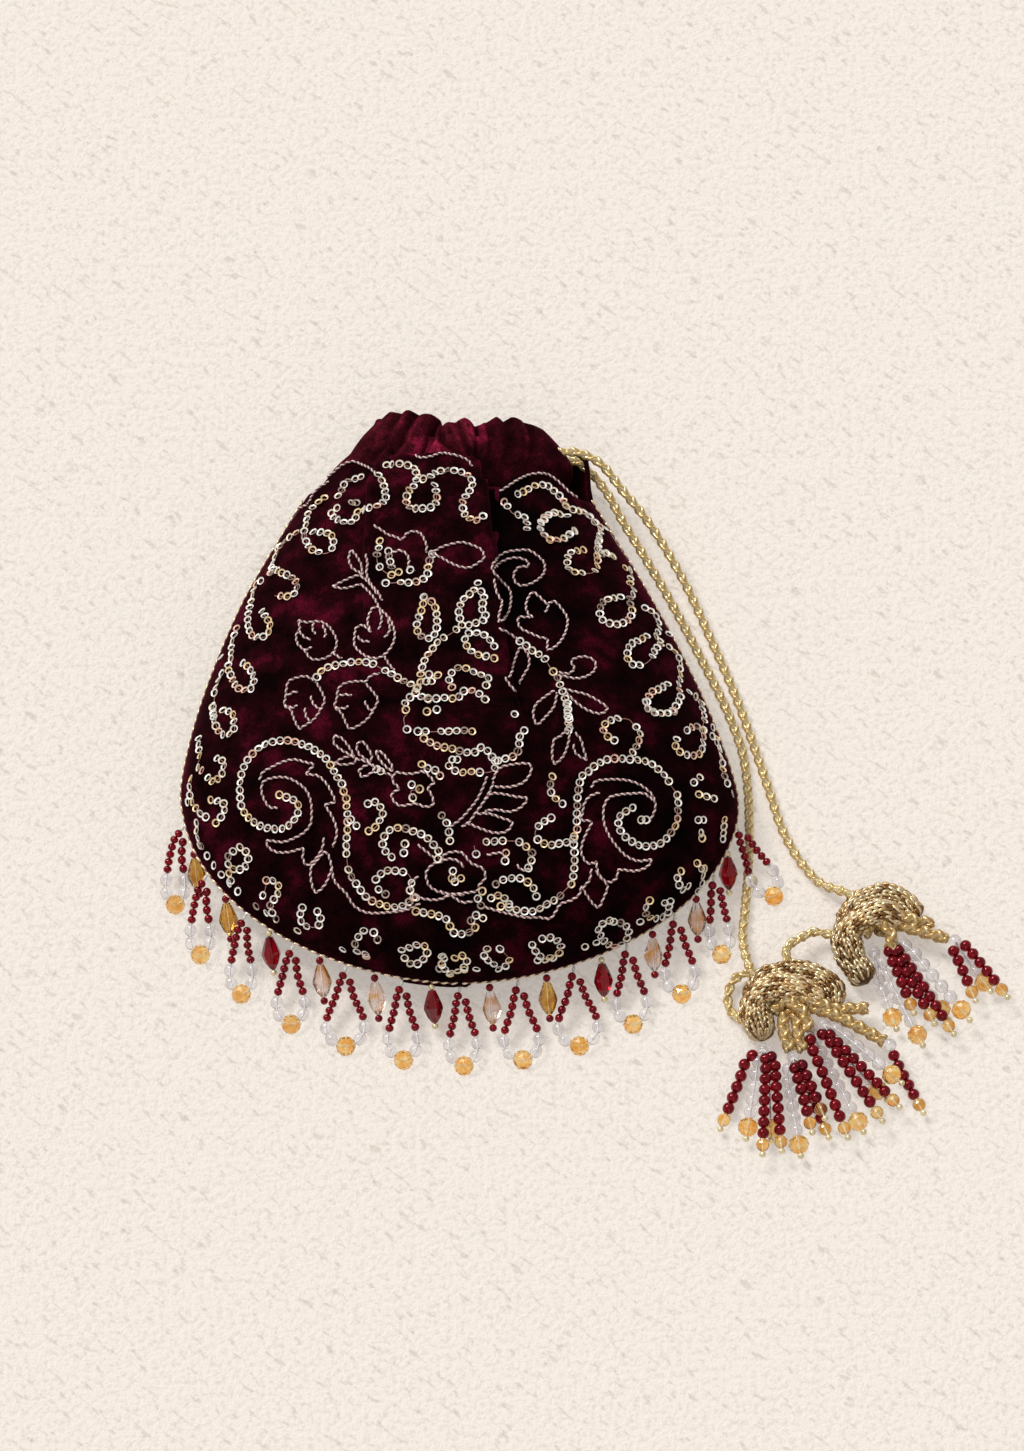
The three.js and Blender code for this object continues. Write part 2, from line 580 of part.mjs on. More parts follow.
place(
  "drawstring_front",
  cordTube([
    ...leadOut(lowerExit),
    ...along([
      [0.4817, 111, 11.5], [0.5393, 103.5, 10.5], [0.5916, 94, 9], [0.6545, 84.1, 7], [0.7518, 68, 4],
      [0.8597, 47.5, CORD_REST], [0.9571, 26.7, CORD_REST], [1.018, 9.3, CORD_REST], [1.036, -4.6, CORD_REST],
      [1.039, -19.7, CORD_REST], [1.035, -33, CORD_REST], [1.02, -48.1, CORD_REST], [1.001, -59, 2.6],
    ]),
    ...intoHead(frontTassel, 0.2),
  ]),
  goldBraid,
);
place(
  "drawstring_rear",
  cordTube([
    ...leadOut(upperExit),
    ...along([
      [0.5026, 112.5, 19], [0.5906, 102.8, 16], [0.6576, 96, 12.5], [0.7162, 88.6, 9.5], [0.8147, 72.8, 4.8],
      [0.9152, 50.9, CORD_REST], [0.999, 30, CORD_REST], [1.068, 9.3, CORD_REST], [1.112, -4.6, CORD_REST],
      [1.159, -19.7, CORD_REST], [1.225, -33, CORD_REST], [1.283, -41, 2.8],
    ]),
    ...intoHead(rearTassel, 0.42),
  ]),
  goldBraid,
);
place(
  "drawstring_bridge",
  cordTube([
    ...intoHead(frontTassel, 0.52).reverse(),
    ...along([[1.215, -62.2, 7.4]]),
    ...intoHead(rearTassel, 0),
  ]),
  goldBraid,
);

export default potli;
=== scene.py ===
import bpy
import bmesh
import math
import random
import numpy as np
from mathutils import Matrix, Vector, noise
from mathutils.bvhtree import BVHTree


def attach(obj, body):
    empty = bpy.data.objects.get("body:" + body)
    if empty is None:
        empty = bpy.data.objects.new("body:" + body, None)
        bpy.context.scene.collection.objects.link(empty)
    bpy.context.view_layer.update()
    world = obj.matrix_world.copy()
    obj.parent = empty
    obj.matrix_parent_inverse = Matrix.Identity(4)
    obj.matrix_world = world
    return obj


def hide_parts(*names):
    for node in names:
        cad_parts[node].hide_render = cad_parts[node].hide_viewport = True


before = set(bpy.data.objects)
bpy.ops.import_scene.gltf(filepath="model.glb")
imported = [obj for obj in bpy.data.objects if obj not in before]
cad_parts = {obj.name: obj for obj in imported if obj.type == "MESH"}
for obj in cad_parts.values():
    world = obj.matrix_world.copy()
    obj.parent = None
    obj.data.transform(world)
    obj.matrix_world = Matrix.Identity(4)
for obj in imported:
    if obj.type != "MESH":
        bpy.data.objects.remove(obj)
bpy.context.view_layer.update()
scene = bpy.context.scene
scene.view_settings.view_transform = "Standard"
chance = random.Random(7)
mm = 0.001
fullTurn = 2 * math.pi
spanSteps = 24  # points on each span of a curve


def clamp01(value):
    return np.clip(value, 0.0, 1.0)


def mix(a, b, share):
    return a + (b - a) * share


def smooth(value):
    value = clamp01(value)
    return value * value * (3 - 2 * value)


def bell(distance, power=2):
    return np.exp(-(distance**power))


def unit(vectors):
    vectors = np.asarray(vectors, float)
    return vectors / np.maximum(np.linalg.norm(vectors, axis=-1, keepdims=True), 1e-9)


# The photograph's frame in pixels, millimetres to a pixel at the bag, and the pixel at the part's origin.
photo = {"size": (1024, 1451), "pixel": 0.345, "origin": (461, 980)}
view = {"elevation": math.radians(66), "lens": 200.0, "sensor": 36.0, "aim": (17.6, 16.1, 10.0), "far": 50}
viewBack = np.array([0, -math.cos(view["elevation"]), math.sin(view["elevation"])])
viewUp = np.array([0, math.sin(view["elevation"]), math.cos(view["elevation"])])
viewRight = np.array([1.0, 0, 0])
pixelOnSensor = view["sensor"] / photo["size"][1]
eye = np.array(view["aim"]) + viewBack * photo["pixel"] * view["lens"] / pixelOnSensor
camera = bpy.data.objects.new("camera", bpy.data.cameras.new("camera"))
camera.data.lens = view["lens"]
camera.data.clip_end = view["far"]
camera.location = eye * mm
camera.rotation_euler = (math.pi / 2 - view["elevation"], 0, 0)
scene.collection.objects.link(camera)
scene.camera = camera


def rayThrough(u, v):
    across, down = ((at - size / 2) * pixelOnSensor for at, size in zip((u, v), photo["size"]))
    return unit(-viewBack * view["lens"] + viewRight * across - viewUp * down)


# Shapes are gathered in millimetres and become one mesh each.
class Shape:
    def __init__(self):
        self.points, self.faces, self.tints, self.count = [], [], [], 0

    def add(self, points, faces, tint=(1, 1, 1)):
        points = np.asarray(points, float).reshape(-1, 3)
        self.points.append(points)
        self.faces.extend([tuple(i + self.count for i in face) for face in faces])
        self.tints.append(np.broadcast_to(tint, (len(points), 3)))
        self.count += len(points)


def makePiece(name, shape, material, nodes=(), isSmooth=True, weld=0.0):
    mesh = bpy.data.meshes.new(name)
    mesh.from_pydata((np.concatenate(shape.points) * mm).tolist(), [], shape.faces)
    tint = mesh.color_attributes.new("tint", "FLOAT_COLOR", "POINT")
    colours = np.c_[np.concatenate(shape.tints), np.ones(shape.count)]
    tint.data.foreach_set("color", colours.astype(np.float32).ravel())
    mesh.polygons.foreach_set("use_smooth", [isSmooth] * len(mesh.polygons))
    form = bmesh.new()
    form.from_mesh(mesh)
    if weld:
        bmesh.ops.remove_doubles(form, verts=form.verts, dist=weld)
    bmesh.ops.recalc_face_normals(form, faces=form.faces)
    form.to_mesh(mesh)
    form.free()
    mesh.materials.append(material)
    made = bpy.data.objects.new(name, mesh)
    scene.collection.objects.link(made)
    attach(made, "root")
    if nodes:
        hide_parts(*nodes)
    return made


def gridFaces(rows, columns, isRing=False):
    return [
        (r * columns + c, r * columns + (c + 1) % columns,
         (r + 1) * columns + (c + 1) % columns, (r + 1) * columns + c)
        for r in range(rows - 1) for c in range(columns if isRing else columns - 1)
    ]


def loopFaces(rows, columns):  # a ring of rings
    return [tuple(i % (rows * columns) for i in face) for face in gridFaces(rows + 1, columns, True)]


def tubeFaces(rings, sides):
    caps = [tuple(range(sides))[::-1], tuple((rings - 1) * sides + i for i in range(sides))]
    return gridFaces(rings, sides, True) + caps


def aroundAxis(turn, first, second):
    return np.cos(turn)[..., None] * first + np.sin(turn)[..., None] * second


def sweepTube(centres, first, second, radius, sides):
    turn = np.linspace(0, fullTurn, sides, endpoint=False)
    radius = np.broadcast_to(radius, len(centres))[:, None, None]
    ring = aroundAxis(turn[None], first[:, None], second[:, None])
    return (centres[:, None] + radius * ring).reshape(-1, 3), tubeFaces(len(centres), sides)


def tangentsOf(points):
    return unit(np.gradient(points, axis=0))


def framesAlong(points, start=(0, 0, 1)):
    tangents = tangentsOf(points)
    first = np.zeros_like(points)
    side = np.array(start, float)
    for i, tangent in enumerate(tangents):
        side = side - tangent * side.dot(tangent)
        side /= np.linalg.norm(side)
        first[i] = side
    return first, np.cross(tangents, first)


# A smooth curve through points, the same kind as the part's own routes.
def curveThrough(points, perSpan=spanSteps):
    p = np.asarray(points, float)
    p = np.vstack([2 * p[0] - p[1], p, 2 * p[-1] - p[-2]])
    found = []
    for a, b, c, d in zip(p, p[1:], p[2:], p[3:]):
        t1, t2, t3 = np.cumsum([max(np.linalg.norm(step), 1e-6) ** 0.5 for step in (b - a, c - b, d - c)])
        t = np.linspace(t1, t2, perSpan, endpoint=False)[:, None]
        ab = (t1 - t) / t1 * a + t / t1 * b
        bc = (t2 - t) / (t2 - t1) * b + (t - t1) / (t2 - t1) * c
        cd = (t3 - t) / (t3 - t2) * c + (t - t2) / (t3 - t2) * d
        abc = (t2 - t) / t2 * ab + t / t2 * bc
        bcd = (t3 - t) / (t3 - t1) * bc + (t - t1) / (t3 - t1) * cd
        found.append((t2 - t) / (t2 - t1) * abc + (t - t1) / (t2 - t1) * bcd)
    return np.vstack([*found, p[-2]])


def lengthsOf(points):
    return np.r_[0, np.cumsum(np.linalg.norm(np.diff(points, axis=0), axis=1))]


def rowsAt(where, lengths, rows):
    return np.stack([np.interp(where, lengths, rows[:, k]) for k in range(3)], axis=1)


def pointsAt(points, where):
    return rowsAt(where, lengthsOf(points), points)


def evenSteps(length, pitch):
    return np.linspace(0, length, max(2, int(round(length / pitch)) + 1))


def spaced(points, pitch):
    return pointsAt(points, evenSteps(lengthsOf(points)[-1], pitch))


# A material and its nodes.
class Paint:
    def __init__(self, name, **sockets):
        self.material = bpy.data.materials.new(name)
        self.material.use_nodes = True
        self.nodes, self.links = self.material.node_tree.nodes, self.material.node_tree.links
        self.shader = self.nodes["Principled BSDF"]
        self.fill(self.shader, **sockets)

    def fill(self, node, **sockets):
        for socket, value in sockets.items():
            node.inputs[socket.replace("_", " ")].default_value = value
        return node

    def node(self, kind, **sockets):
        return self.fill(self.nodes.new("ShaderNode" + kind), **sockets)

    def feed(self, source, socket, node=None):
        self.links.new(source, (node or self.shader).inputs[socket])

    def place(self):
        return self.node("TexCoord").outputs["Object"]

    def tint(self):
        node = self.node("Attribute")
        node.attribute_name = "tint"
        return node.outputs["Color"]

    def noise(self, scale, detail=3.0, roughness=0.5, place=None):
        node = self.node("TexNoise", Scale=scale, Detail=detail, Roughness=roughness)
        self.feed(place or self.place(), "Vector", node)
        return node.outputs["Fac"]

    def ramp(self, source, stops):
        node = self.node("ValToRGB")
        while len(node.color_ramp.elements) < len(stops):
            node.color_ramp.elements.new(0.5)
        for element, (at, colour) in zip(node.color_ramp.elements, stops):
            element.position = at
            element.color = (*colour, 1)
        self.feed(source, "Fac", node)
        return node.outputs["Color"]

    def multiplied(self, a, b):
        node = self.node("Mix")
        node.data_type, node.blend_type = "RGBA", "MULTIPLY"
        self.fill(node, Factor=1.0)
        self.feed(a, "A", node)
        self.feed(b, "B", node)
        return node.outputs["Result"]

    def bump(self, height, strength, distance):
        node = self.node("Bump", Strength=strength, Distance=distance)
        self.feed(height, "Height", node)
        self.feed(node.outputs["Normal"], "Normal")


def greys(*stops):
    return [(at, (value,) * 3) for at, value in stops]


def velvetPaint(name, shades, sheen):
    paint = Paint(name, Roughness=0.9, Specular_IOR_Level=0.02, Sheen_Weight=sheen, Sheen_Roughness=0.3,
                  Sheen_Tint=(1.0, 0.05, 0.20, 1))
    # mottled nap tone whose few bright patches are partly painted sheen
    napAndPaintedLight = paint.ramp(paint.noise(75, 5, 0.65), list(zip((0.36, 0.53, 0.78), shades)))
    fibre = paint.noise(1500, 3, 0.7)
    fleck = paint.ramp(fibre, [(0.32, (0.35, 0.3, 0.3)), (0.7, (1.7, 1.6, 1.6))])
    paintedLight = paint.tint()  # painted light and shade, set per vertex
    paint.feed(paint.multiplied(paint.multiplied(napAndPaintedLight, fleck), paintedLight), "Base Color")
    paint.bump(fibre, 0.6, 0.0005)
    return paint.material


def metalPaint(name, colour, roughness, metallic, grain, depth):
    paint = Paint(name, Metallic=metallic)
    grit = paint.noise(grain)
    shade = paint.ramp(grit, [(0.3, tuple(0.72 * c for c in colour)), (0.7, colour)])
    paint.feed(paint.multiplied(shade, paint.tint()), "Base Color")
    paint.feed(paint.ramp(grit, greys((0.3, roughness * 1.5), (0.7, roughness))), "Roughness")
    paint.bump(grit, 0.35, depth)
    return paint.material


def glassPaint(name, deep, pale, clarity, roughness=0.01, shine=(1, 1, 1), grain=420, index=1.52):
    paint = Paint(name, IOR=index, Transmission_Weight=clarity, Specular_IOR_Level=0.8,
                  Specular_Tint=(*shine, 1))
    paint.feed(paint.ramp(paint.noise(grain, 2), [(0.36, deep), (0.66, pale)]), "Base Color")
    wear = paint.ramp(paint.noise(900, 2), greys((0.35, roughness), (0.75, roughness * 2.2)))
    paint.feed(wear, "Roughness")
    return paint.material


warmShine = (1, 0.95, 0.85)
velvet = velvetPaint("velvet", [(0.002, 0.0002, 0.0004), (0.010, 0.0008, 0.0018), (0.075, 0.0030, 0.014)],
                     0.12)
liningCloth = velvetPaint("liningCloth", [(0.04, 0.003, 0.010), (0.06, 0.005, 0.018), (0.09, 0.008, 0.026)],
                          0.2)
goldBraid = metalPaint("goldBraid", (1.0, 0.86, 0.54), 0.2, 0.45, 1600, 0.0003)
goldKnit = metalPaint("goldKnit", (1.0, 0.80, 0.50), 0.24, 0.65, 1500, 0.0003)
goldThread = metalPaint("goldThread", (0.94, 0.77, 0.73), 0.3, 0.15, 2200, 0.0002)
sequinFilm = metalPaint("sequinFilm", (0.98, 0.95, 0.88), 0.26, 0.15, 500, 0.0001)
maroonGlass = glassPaint("maroonGlass", (0.13, 0.0004, 0.003), (0.32, 0.001, 0.008), 0.7, 0.02,
                         (1, 0.26, 0.32), index=1.62)
clearGlass = glassPaint("clearGlass", (0.74, 0.72, 0.76), (0.99, 0.975, 1.0), 0.92)
amberGlass = glassPaint("amberGlass", (0.86, 0.34, 0.03), (1.0, 0.80, 0.36), 0.92, shine=warmShine)
honeyGlass = glassPaint("honeyGlass", (0.5, 0.16, 0.006), (1.0, 0.60, 0.12), 0.95, shine=warmShine,
                        grain=160)
rubyGlass = glassPaint("rubyGlass", (0.16, 0.0006, 0.004), (0.42, 0.004, 0.014), 0.92, shine=(1, 0.8, 0.8),
                       grain=160)
lustreGlass = glassPaint("lustreGlass", (0.66, 0.26, 0.03), (0.98, 0.95, 1.0), 0.93, grain=170)
paleThread = metalPaint("paleThread", (0.86, 0.82, 0.78), 0.5, 0.0, 1500, 0.0001)
print("materials made")

# Floor: pale plaster with small slanted pits. It glows a little, which keeps the shadows faint.
floorForm = bmesh.new()
bmesh.ops.create_grid(floorForm, x_segments=8, y_segments=8, size=4)
floorMesh = bpy.data.meshes.new("floor")
floorForm.to_mesh(floorMesh)
floorForm.free()
floor = bpy.data.objects.new("floor", floorMesh)
scene.collection.objects.link(floor)
floorPaint = Paint("floorPaint", Roughness=0.9, Specular_IOR_Level=0.1, Emission_Strength=0.75)
grit = floorPaint.noise(480, 6, 0.6)
plaster = floorPaint.ramp(grit, [(0.34, (0.467, 0.428, 0.389)), (0.5, (0.528, 0.4845, 0.441))])
slant = floorPaint.node("Mapping", Rotation=(0, 0, math.radians(-40)), Scale=(1.5, 0.62, 1))
slant.vector_type = "TEXTURE"
floorPaint.feed(floorPaint.place(), "Vector", slant)
fleck = floorPaint.noise(260, 2, 0.5, slant.outputs["Vector"])
pits = floorPaint.ramp(fleck, [(0.31, (0.84, 0.825, 0.81)), (0.41, (1, 1, 1))])
pitted = floorPaint.multiplied(plaster, pits)
floorPaint.feed(pitted, "Base Color")
floorPaint.feed(pitted, "Emission Color")
floorPaint.bump(grit, 0.7, 0.002)
floorMesh.materials.append(floorPaint.material)

# An even sky, and three wide suns: strength, width in degrees and direction.
scene.world = bpy.data.worlds.new("sky")
scene.world.use_nodes = True
sky = scene.world.node_tree.nodes["Background"]
sky.inputs["Color"].default_value = (1, 0.985, 0.965, 1)
sky.inputs["Strength"].default_value = 0.45
lamps = {"soft": (1.3, 30, (0.42, -0.62, -0.95)), "key": (1.2, 14, (0.6, -0.5, -0.85)),
         "fill": (0.32, 45, (-0.1, 0.8, -0.6))}
for name, (energy, angle, way) in lamps.items():
    lamp = bpy.data.objects.new(name, bpy.data.lights.new(name, "SUN"))
    lamp.data.energy, lamp.data.angle, lamp.data.color = energy, math.radians(angle), (1, 0.985, 0.96)
    lamp.rotation_euler = Vector(way).to_track_quat("-Z", "Y").to_euler()
    scene.collection.objects.link(lamp)
print("stage made")

# Drawstring: the same routes as the part's solids, as a four-strand braid.
bag = {"width": 191.0, "length": 188.0, "shoulder": 84.0, "widestAt": 68.0, "bellyAt": 80.0, "front": 36.0,
       "back": 15.0, "seamLow": 10.0, "seamHigh": 16.0, "neckFront": 16.0, "neckBack": 14.0}
neck = {"inset": 2.6, "channel": 196.0, "casing": 7.4, "rim": 208.0, "mouth": 28.0, "front": 13.0,
        "back": 12.0}
cord = {"width": 3.5, "full": 3.7, "strand": 0.8, "lay": 9.2, "step": 0.45, "rest": 2.05, "exit": 0.44}
head = {"tube": 10.8, "z": 5.7, "knot": 6.0, "braid": 4.2, "cap": 4.6}
tassels = {  # places are measured from the hole in the head, heights from its resting height
    "front": {
        "place": (112.5, -85.8), "knot": (0, -1.5, 1.2),
        "arch": [(-12.6, 1.5, 1), (-10, 6, 2.2), (-4, 8, 2.9), (3, 8, 2.7), (8.5, 7.3, 2), (12.1, 6.2, 1.3)],
        "leg": [(-6.2, 5.8, 0), (-10.4, 1.4, 0), (-11.4, -4, 0), (-10.7, -8.6, 0)],
        "rolls": [
            [(-12, 4, 0.4), (-8.6, 9, 1.2), (-3, 10.4, 1.6), (3.9, 10.6, 1.8), (10, 8.8, 1.6),
             (13.8, 5.2, 0.8), (14, 2.4, 0)],
            [(-13.6, -4, 0.6), (-13, 0, 2), (-10, 3, 4.2), (-4, 4.4, 5.2), (2.6, 4, 5), (7.4, 2, 3)]],
        "braids": [
            [(0, -1.5, 1.2), (-2.6, -6, 1.2), (-2.4, -11, 1.2), (-0.4, -17.4, 1.2)],
            [(0, -1.5, 1.2), (1.9, -6, 1.2), (2.2, -11, 1.2), (3.8, -17.4, 1.2)],
            [(0, -1.5, 1.2), (6, -2, 2), (14, -4.6, 2.3), (21.7, -8.4, 2), (31.2, -14, 1.2)],
            [(0, -1.5, 1.2), (7, -2.4, 2), (16, -2.4, 1.4), (26, -1.6, 0.2)]],
        "wound": [
            [(-6, -3.4, 1.5), (-1.5, 0.2, 4.4), (4.5, 0.6, 4.6), (10.5, -1.4, 3.6), (14, -3.4, 2.6)],
            [(-4.6, 1.6, 2), (0.5, -1.6, 4.6), (4.6, -5.6, 3.6), (5.6, -10.4, 1.8)]],
        "clusters": [  # each strand: where it ends, its layer, and its beads if they are clear
            {"on": "leg", "share": 1, "strands": [
                (-24.8, -45.5, 0), (-10.4, -55.7, 1), (-3.8, -54.5, 1), (-15.9, -49.3, 0, "clear"),
                (-7.3, -50, 0, "clear")]},
            {"on": 0, "share": 1, "strands": [
                (6.9, -47.8, 1), (2.8, -55.4, 0, "clear"), (11.4, -42.8, 1), (12.6, -48.5, 0)]},
            {"on": 1, "share": 0.5, "side": 1, "strands": [
                (19, -49.7, 1), (31, -43.6, 1), (24.5, -46.7, 0, "clear")]},
            {"on": 2, "share": 0.38, "side": -1, "strands": [
                (37, -38.4, 1), (38, -29.6, 1, "clear"), (33, -35, 0, "clear")]},
            {"on": 2, "share": 1, "strands": [(44.9, -39.5, 0)]}],
    },
    "rear": {
        "place": (142.3, -58.6), "knot": (1.5, 0, 1.2),
        "arch": [(-10.4, -2.6, 0.3), (-9.6, 2.1, 0.9), (-7.1, 6.4, 2.1), (-1.9, 9.1, 2.9), (3.6, 10.5, 3.1),
                 (7.6, 10.5, 2.3), (9, 10, 1.5)],
        "leg": [(-4.6, 7.2, 0), (-8.8, 2.8, 0), (-10.5, -3.6, 0), (-8.8, -10.6, 0), (-6, -15.4, 0)],
        "rolls": [
            [(-9.4, 4, 0.4), (-6.4, 9.2, 1.2), (-2, 11.2, 1.6), (3.9, 11.8, 1.8), (9.2, 10, 1.4),
             (11.8, 7.2, 0.6)],
            [(-10.6, -4, 1), (-9.4, -0.6, 2.6), (-6.4, 2, 4.4), (-2, 4, 5.2), (2.6, 5, 5), (5.8, 4.2, 3)]],
        "braids": [
            [(1.5, 0, 1.2), (6, 1.2, 1.8), (14, -0.8, 1.8), (24, -3.6, 1.2)],
            [(1.5, 0, 1.2), (7, 1.5, 2), (13, 2.2, 1.4), (19, 2.8, 0.2)]],
        "wound": [
            [(-4.6, -2.4, 1.5), (-0.6, 2, 4.2), (5, 4, 4.4), (10.5, 3.2, 3.4), (14, 1.6, 2.6)],
            [(-2.6, 3.2, 2), (2, 0.4, 4.6), (4.6, -3.6, 3.6), (4.4, -8, 1.6)]],
        "clusters": [
            {"on": "leg", "share": 0.84, "side": 1, "strands": [
                (6.4, -36.5, 0, "clear"), (15.4, -42.5, 0, "clear")]},
            {"on": "knot", "turn": -0.9, "strands": [
                (12.4, -31.6, 1), (26, -39.1, 1), (31.7, -34, 1, "clear"), (19.5, -35.5, 1),
                (24.5, -33, 0, "clear")]},
            {"on": 0, "share": 1, "strands": [(33.5, -27, 1), (44.7, -25.5, 1), (39.2, -22.5, 0, "clear")]}],
    },
}


def neckRing(y, angle, inset):
    share = clamp01((y - bag["length"]) / (neck["rim"] - bag["length"])) ** 1.2
    ends = ((bag["shoulder"] / 2, neck["mouth"]), (bag["neckFront"], neck["front"]),
            (bag["neckBack"], neck["back"]))
    half, front, back = (mix(low - neck["inset"], high, share) - inset for low, high in ends)
    depth = np.where(np.sin(angle) >= 0, front, back)
    return np.stack([half * np.cos(angle), y - bag["bellyAt"] + 0 * angle,
                     bag["seamHigh"] + depth * np.sin(angle)], axis=-1)


def lifted(tassel, points):
    return np.asarray(points, float) + [*tassel["place"], head["z"]]


def alongTube(path, share):
    where = share * lengthsOf(path)[-1]
    ends = pointsAt(path, [max(0, where - 0.2), where + 0.2])
    return pointsAt(path, [where])[0], unit(ends[1] - ends[0])


def intoHead(name, share, *distances):  # points at these distances from the surface of a head's tube
    tassel = tassels[name]
    point, way = alongTube(curveThrough(lifted(tassel, tassel["arch"])), share)
    return [point + unit([-way[1], way[0], 0]) * (head["tube"] / 2 + distance) for distance in distances]


weave = {"seat": 1.32, "swing": 0.32, "sides": 7, "core": 0.7, "coreSides": 6, "coreShade": (0.15, 0.1, 0.05),
         "grooveShade": (0.6, 0.47, 0.28)}  # painted shade in the grooves between the single yarns of a strand, and on the dark core between the strands


def braid(shape, path, radius, strand, lay, step, shade=(1, 1, 1)):
    path = spaced(path, step)
    along = lengthsOf(path)
    first, second = framesAlong(path)
    middle = radius - weave["seat"] * strand
    wave = weave["swing"] * strand * np.sin(2 * fullTurn * along / lay)
    paintedGrooves = np.where(np.arange(weave["sides"])[:, None] % 3 == 0, weave["grooveShade"], 1.0)
    for k in range(4):
        way = 1 if k % 2 else -1
        out = aroundAxis(k * math.pi / 2 + way * fullTurn * along / lay, first, second)
        line = path + (middle + way * wave)[:, None] * out
        side = unit(np.cross(tangentsOf(line), out))
        points, faces = sweepTube(line, out, side, strand, weave["sides"])
        tone = np.array([1, 1 - 0.04 * (k % 2), 1 - 0.14 * (k % 2)]) * shade
        shape.add(points, faces, np.tile(paintedGrooves, (len(line), 1)) * tone)
    # the dark core is painted shade between the strands
    shape.add(*sweepTube(path, first, second, middle * weave["core"], weave["coreSides"]), weave["coreShade"])


def leadOut(angle):  # straight out of the casing's right side
    spot = neckRing(neck["channel"], np.array(angle), neck["casing"] / 2)
    exitX = neckRing(neck["channel"], np.array(0.0), 0)[0] + 0.5
    return [(exitX - 3 + c, neck["channel"] - bag["bellyAt"], spot[2]) for c in (0, 3.3, 6.8)]


rest = cord["rest"]
routes = {
    "front": [
        *leadOut(-cord["exit"]), (46, 111, 11.5), (51.5, 103.5, 10.5), (56.5, 94, 9), (62.5, 84.1, 7),
        (71.8, 68, 4), (82.1, 47.5, rest), (91.4, 26.7, rest), (97.2, 9.3, rest), (98.9, -4.6, rest),
        (99.2, -19.7, rest), (98.8, -33, rest), (97.6, -48.1, rest), (96.6, -61, 2.8),
        *intoHead("front", 0.2, 0.3, -3)],
    "rear": [
        *leadOut(cord["exit"]), (48, 112.5, 19), (56.4, 102.8, 16), (62.8, 96, 12.5), (68.4, 88.6, 9.5),
        (77.8, 72.8, 4.8), (87.4, 50.9, rest), (95.4, 30, rest), (102, 9.3, rest), (106.2, -4.6, rest),
        (110.7, -19.7, rest), (117, -32, rest), (123.6, -40, 2.8), *intoHead("rear", 0.42, 0.3, -3)],
    "bridge": [*intoHead("front", 0.52, -6, 0.3, 6), (116, -62.2, 7.4), *intoHead("rear", 0, 6, 0.3, -6)],
    "wrap": [  # round the front head
        (104.5, -79, 6.6), (98.8, -74.4, 6), (93.6, -75.8, 3.6), (91.2, -81.5, 2.2), (92.4, -87.4, 2.2),
        (97, -91.2, 3.4), (102, -91.6, 5)],
}
for name, points in routes.items():
    path = curveThrough(points)
    shape = Shape()
    braid(shape, path, cord["full"] / 2, cord["strand"], cord["lay"], cord["step"])
    nodes = [] if name == "wrap" else ["drawstring_" + name]
    made = makePiece("drawstring" + name.title(), shape, goldBraid, nodes)
    print("cord", name, round(lengthsOf(path)[-1], 1))

casingRun = {"inset": neck["casing"] / 2 + 1, "points": 60, "perSpan": 4, "step": 1.2, "aside": 2.4}
turns = np.linspace(cord["exit"], fullTurn - cord["exit"], casingRun["points"])
runPath = curveThrough(neckRing(neck["channel"], turns, casingRun["inset"]), casingRun["perSpan"])
toLeft = clamp01(0.5 - runPath[:, 0] / bag["shoulder"])  # the neck lies a little to the left
runPath[:, 0] -= casingRun["aside"] * toLeft
shape = Shape()
braid(shape, runPath, cord["width"] / 2, cord["strand"], cord["lay"], casingRun["step"])
makePiece("drawstringRun", shape, goldBraid, ["drawstring_casing_run"])
print("cords made")

# Cloth: the pouch's outline and depth follow the part's own formulas.
def profile(y, peak, peakAt, top, power, inset=0.0):
    low = clamp01((y - inset) / (peakAt - inset))
    high = clamp01((y - peakAt) / (bag["length"] - peakAt))
    return np.where(y < peakAt, (peak - inset) * (1 - (1 - low) ** 2) ** 0.55,
                    peak - inset - (peak - top) * high ** power)


def halfWidth(y, inset=0.0):
    return profile(y, bag["width"] / 2, bag["widestAt"], bag["shoulder"] / 2, 1.45, inset)


def depthOf(side, y, inset=0.0):
    return profile(y, bag[side], bag["bellyAt"], bag["neck" + side.title()], 1.6, inset)


def seamHeight(y):
    return mix(bag["seamLow"], bag["seamHigh"], clamp01(y / bag["length"]))


def liftAt(angle, y):
    return np.maximum(np.sin(angle), 0) ** mix(1.2, 1.0, clamp01(y / bag["length"]))


askewBy = {  # the bag lies a little askew: how far its left and right edges move, by height
    "height": [60, 86, 115, 141, 165, 179, 188, 192, 196, 204, 212],
    "left": [0, -1.4, -3.6, -5.8, -6.4, -7.2, -6.8, -4.8, -2.6, -3.2, -3.2],
    "right": [0, -2, -3, -3.4, -3.2, -2.6, -1, 0, 0, 0, 0],
}


def askew(points):
    y = points[..., 1] + bag["bellyAt"]
    left, right = (np.interp(y, askewBy["height"], askewBy[side]) for side in ("left", "right"))
    half = np.maximum(halfWidth(np.clip(y, 0, bag["length"])), 1)
    return points + mix(left, right, clamp01(0.5 + 0.5 * points[..., 0] / half))[..., None] * [1, 0, 0]


def ripple(x, y, size, seed):
    spots = zip(np.ravel(x), np.ravel(y))
    return np.array([noise.noise(Vector((a / size, b / size, seed))) for a, b in spots]).reshape(np.shape(x))


def denser(low, high, count):  # rows that lie closer together at the start
    return mix(low, high, 1 - np.cos(np.linspace(0, math.pi / 2, count)))


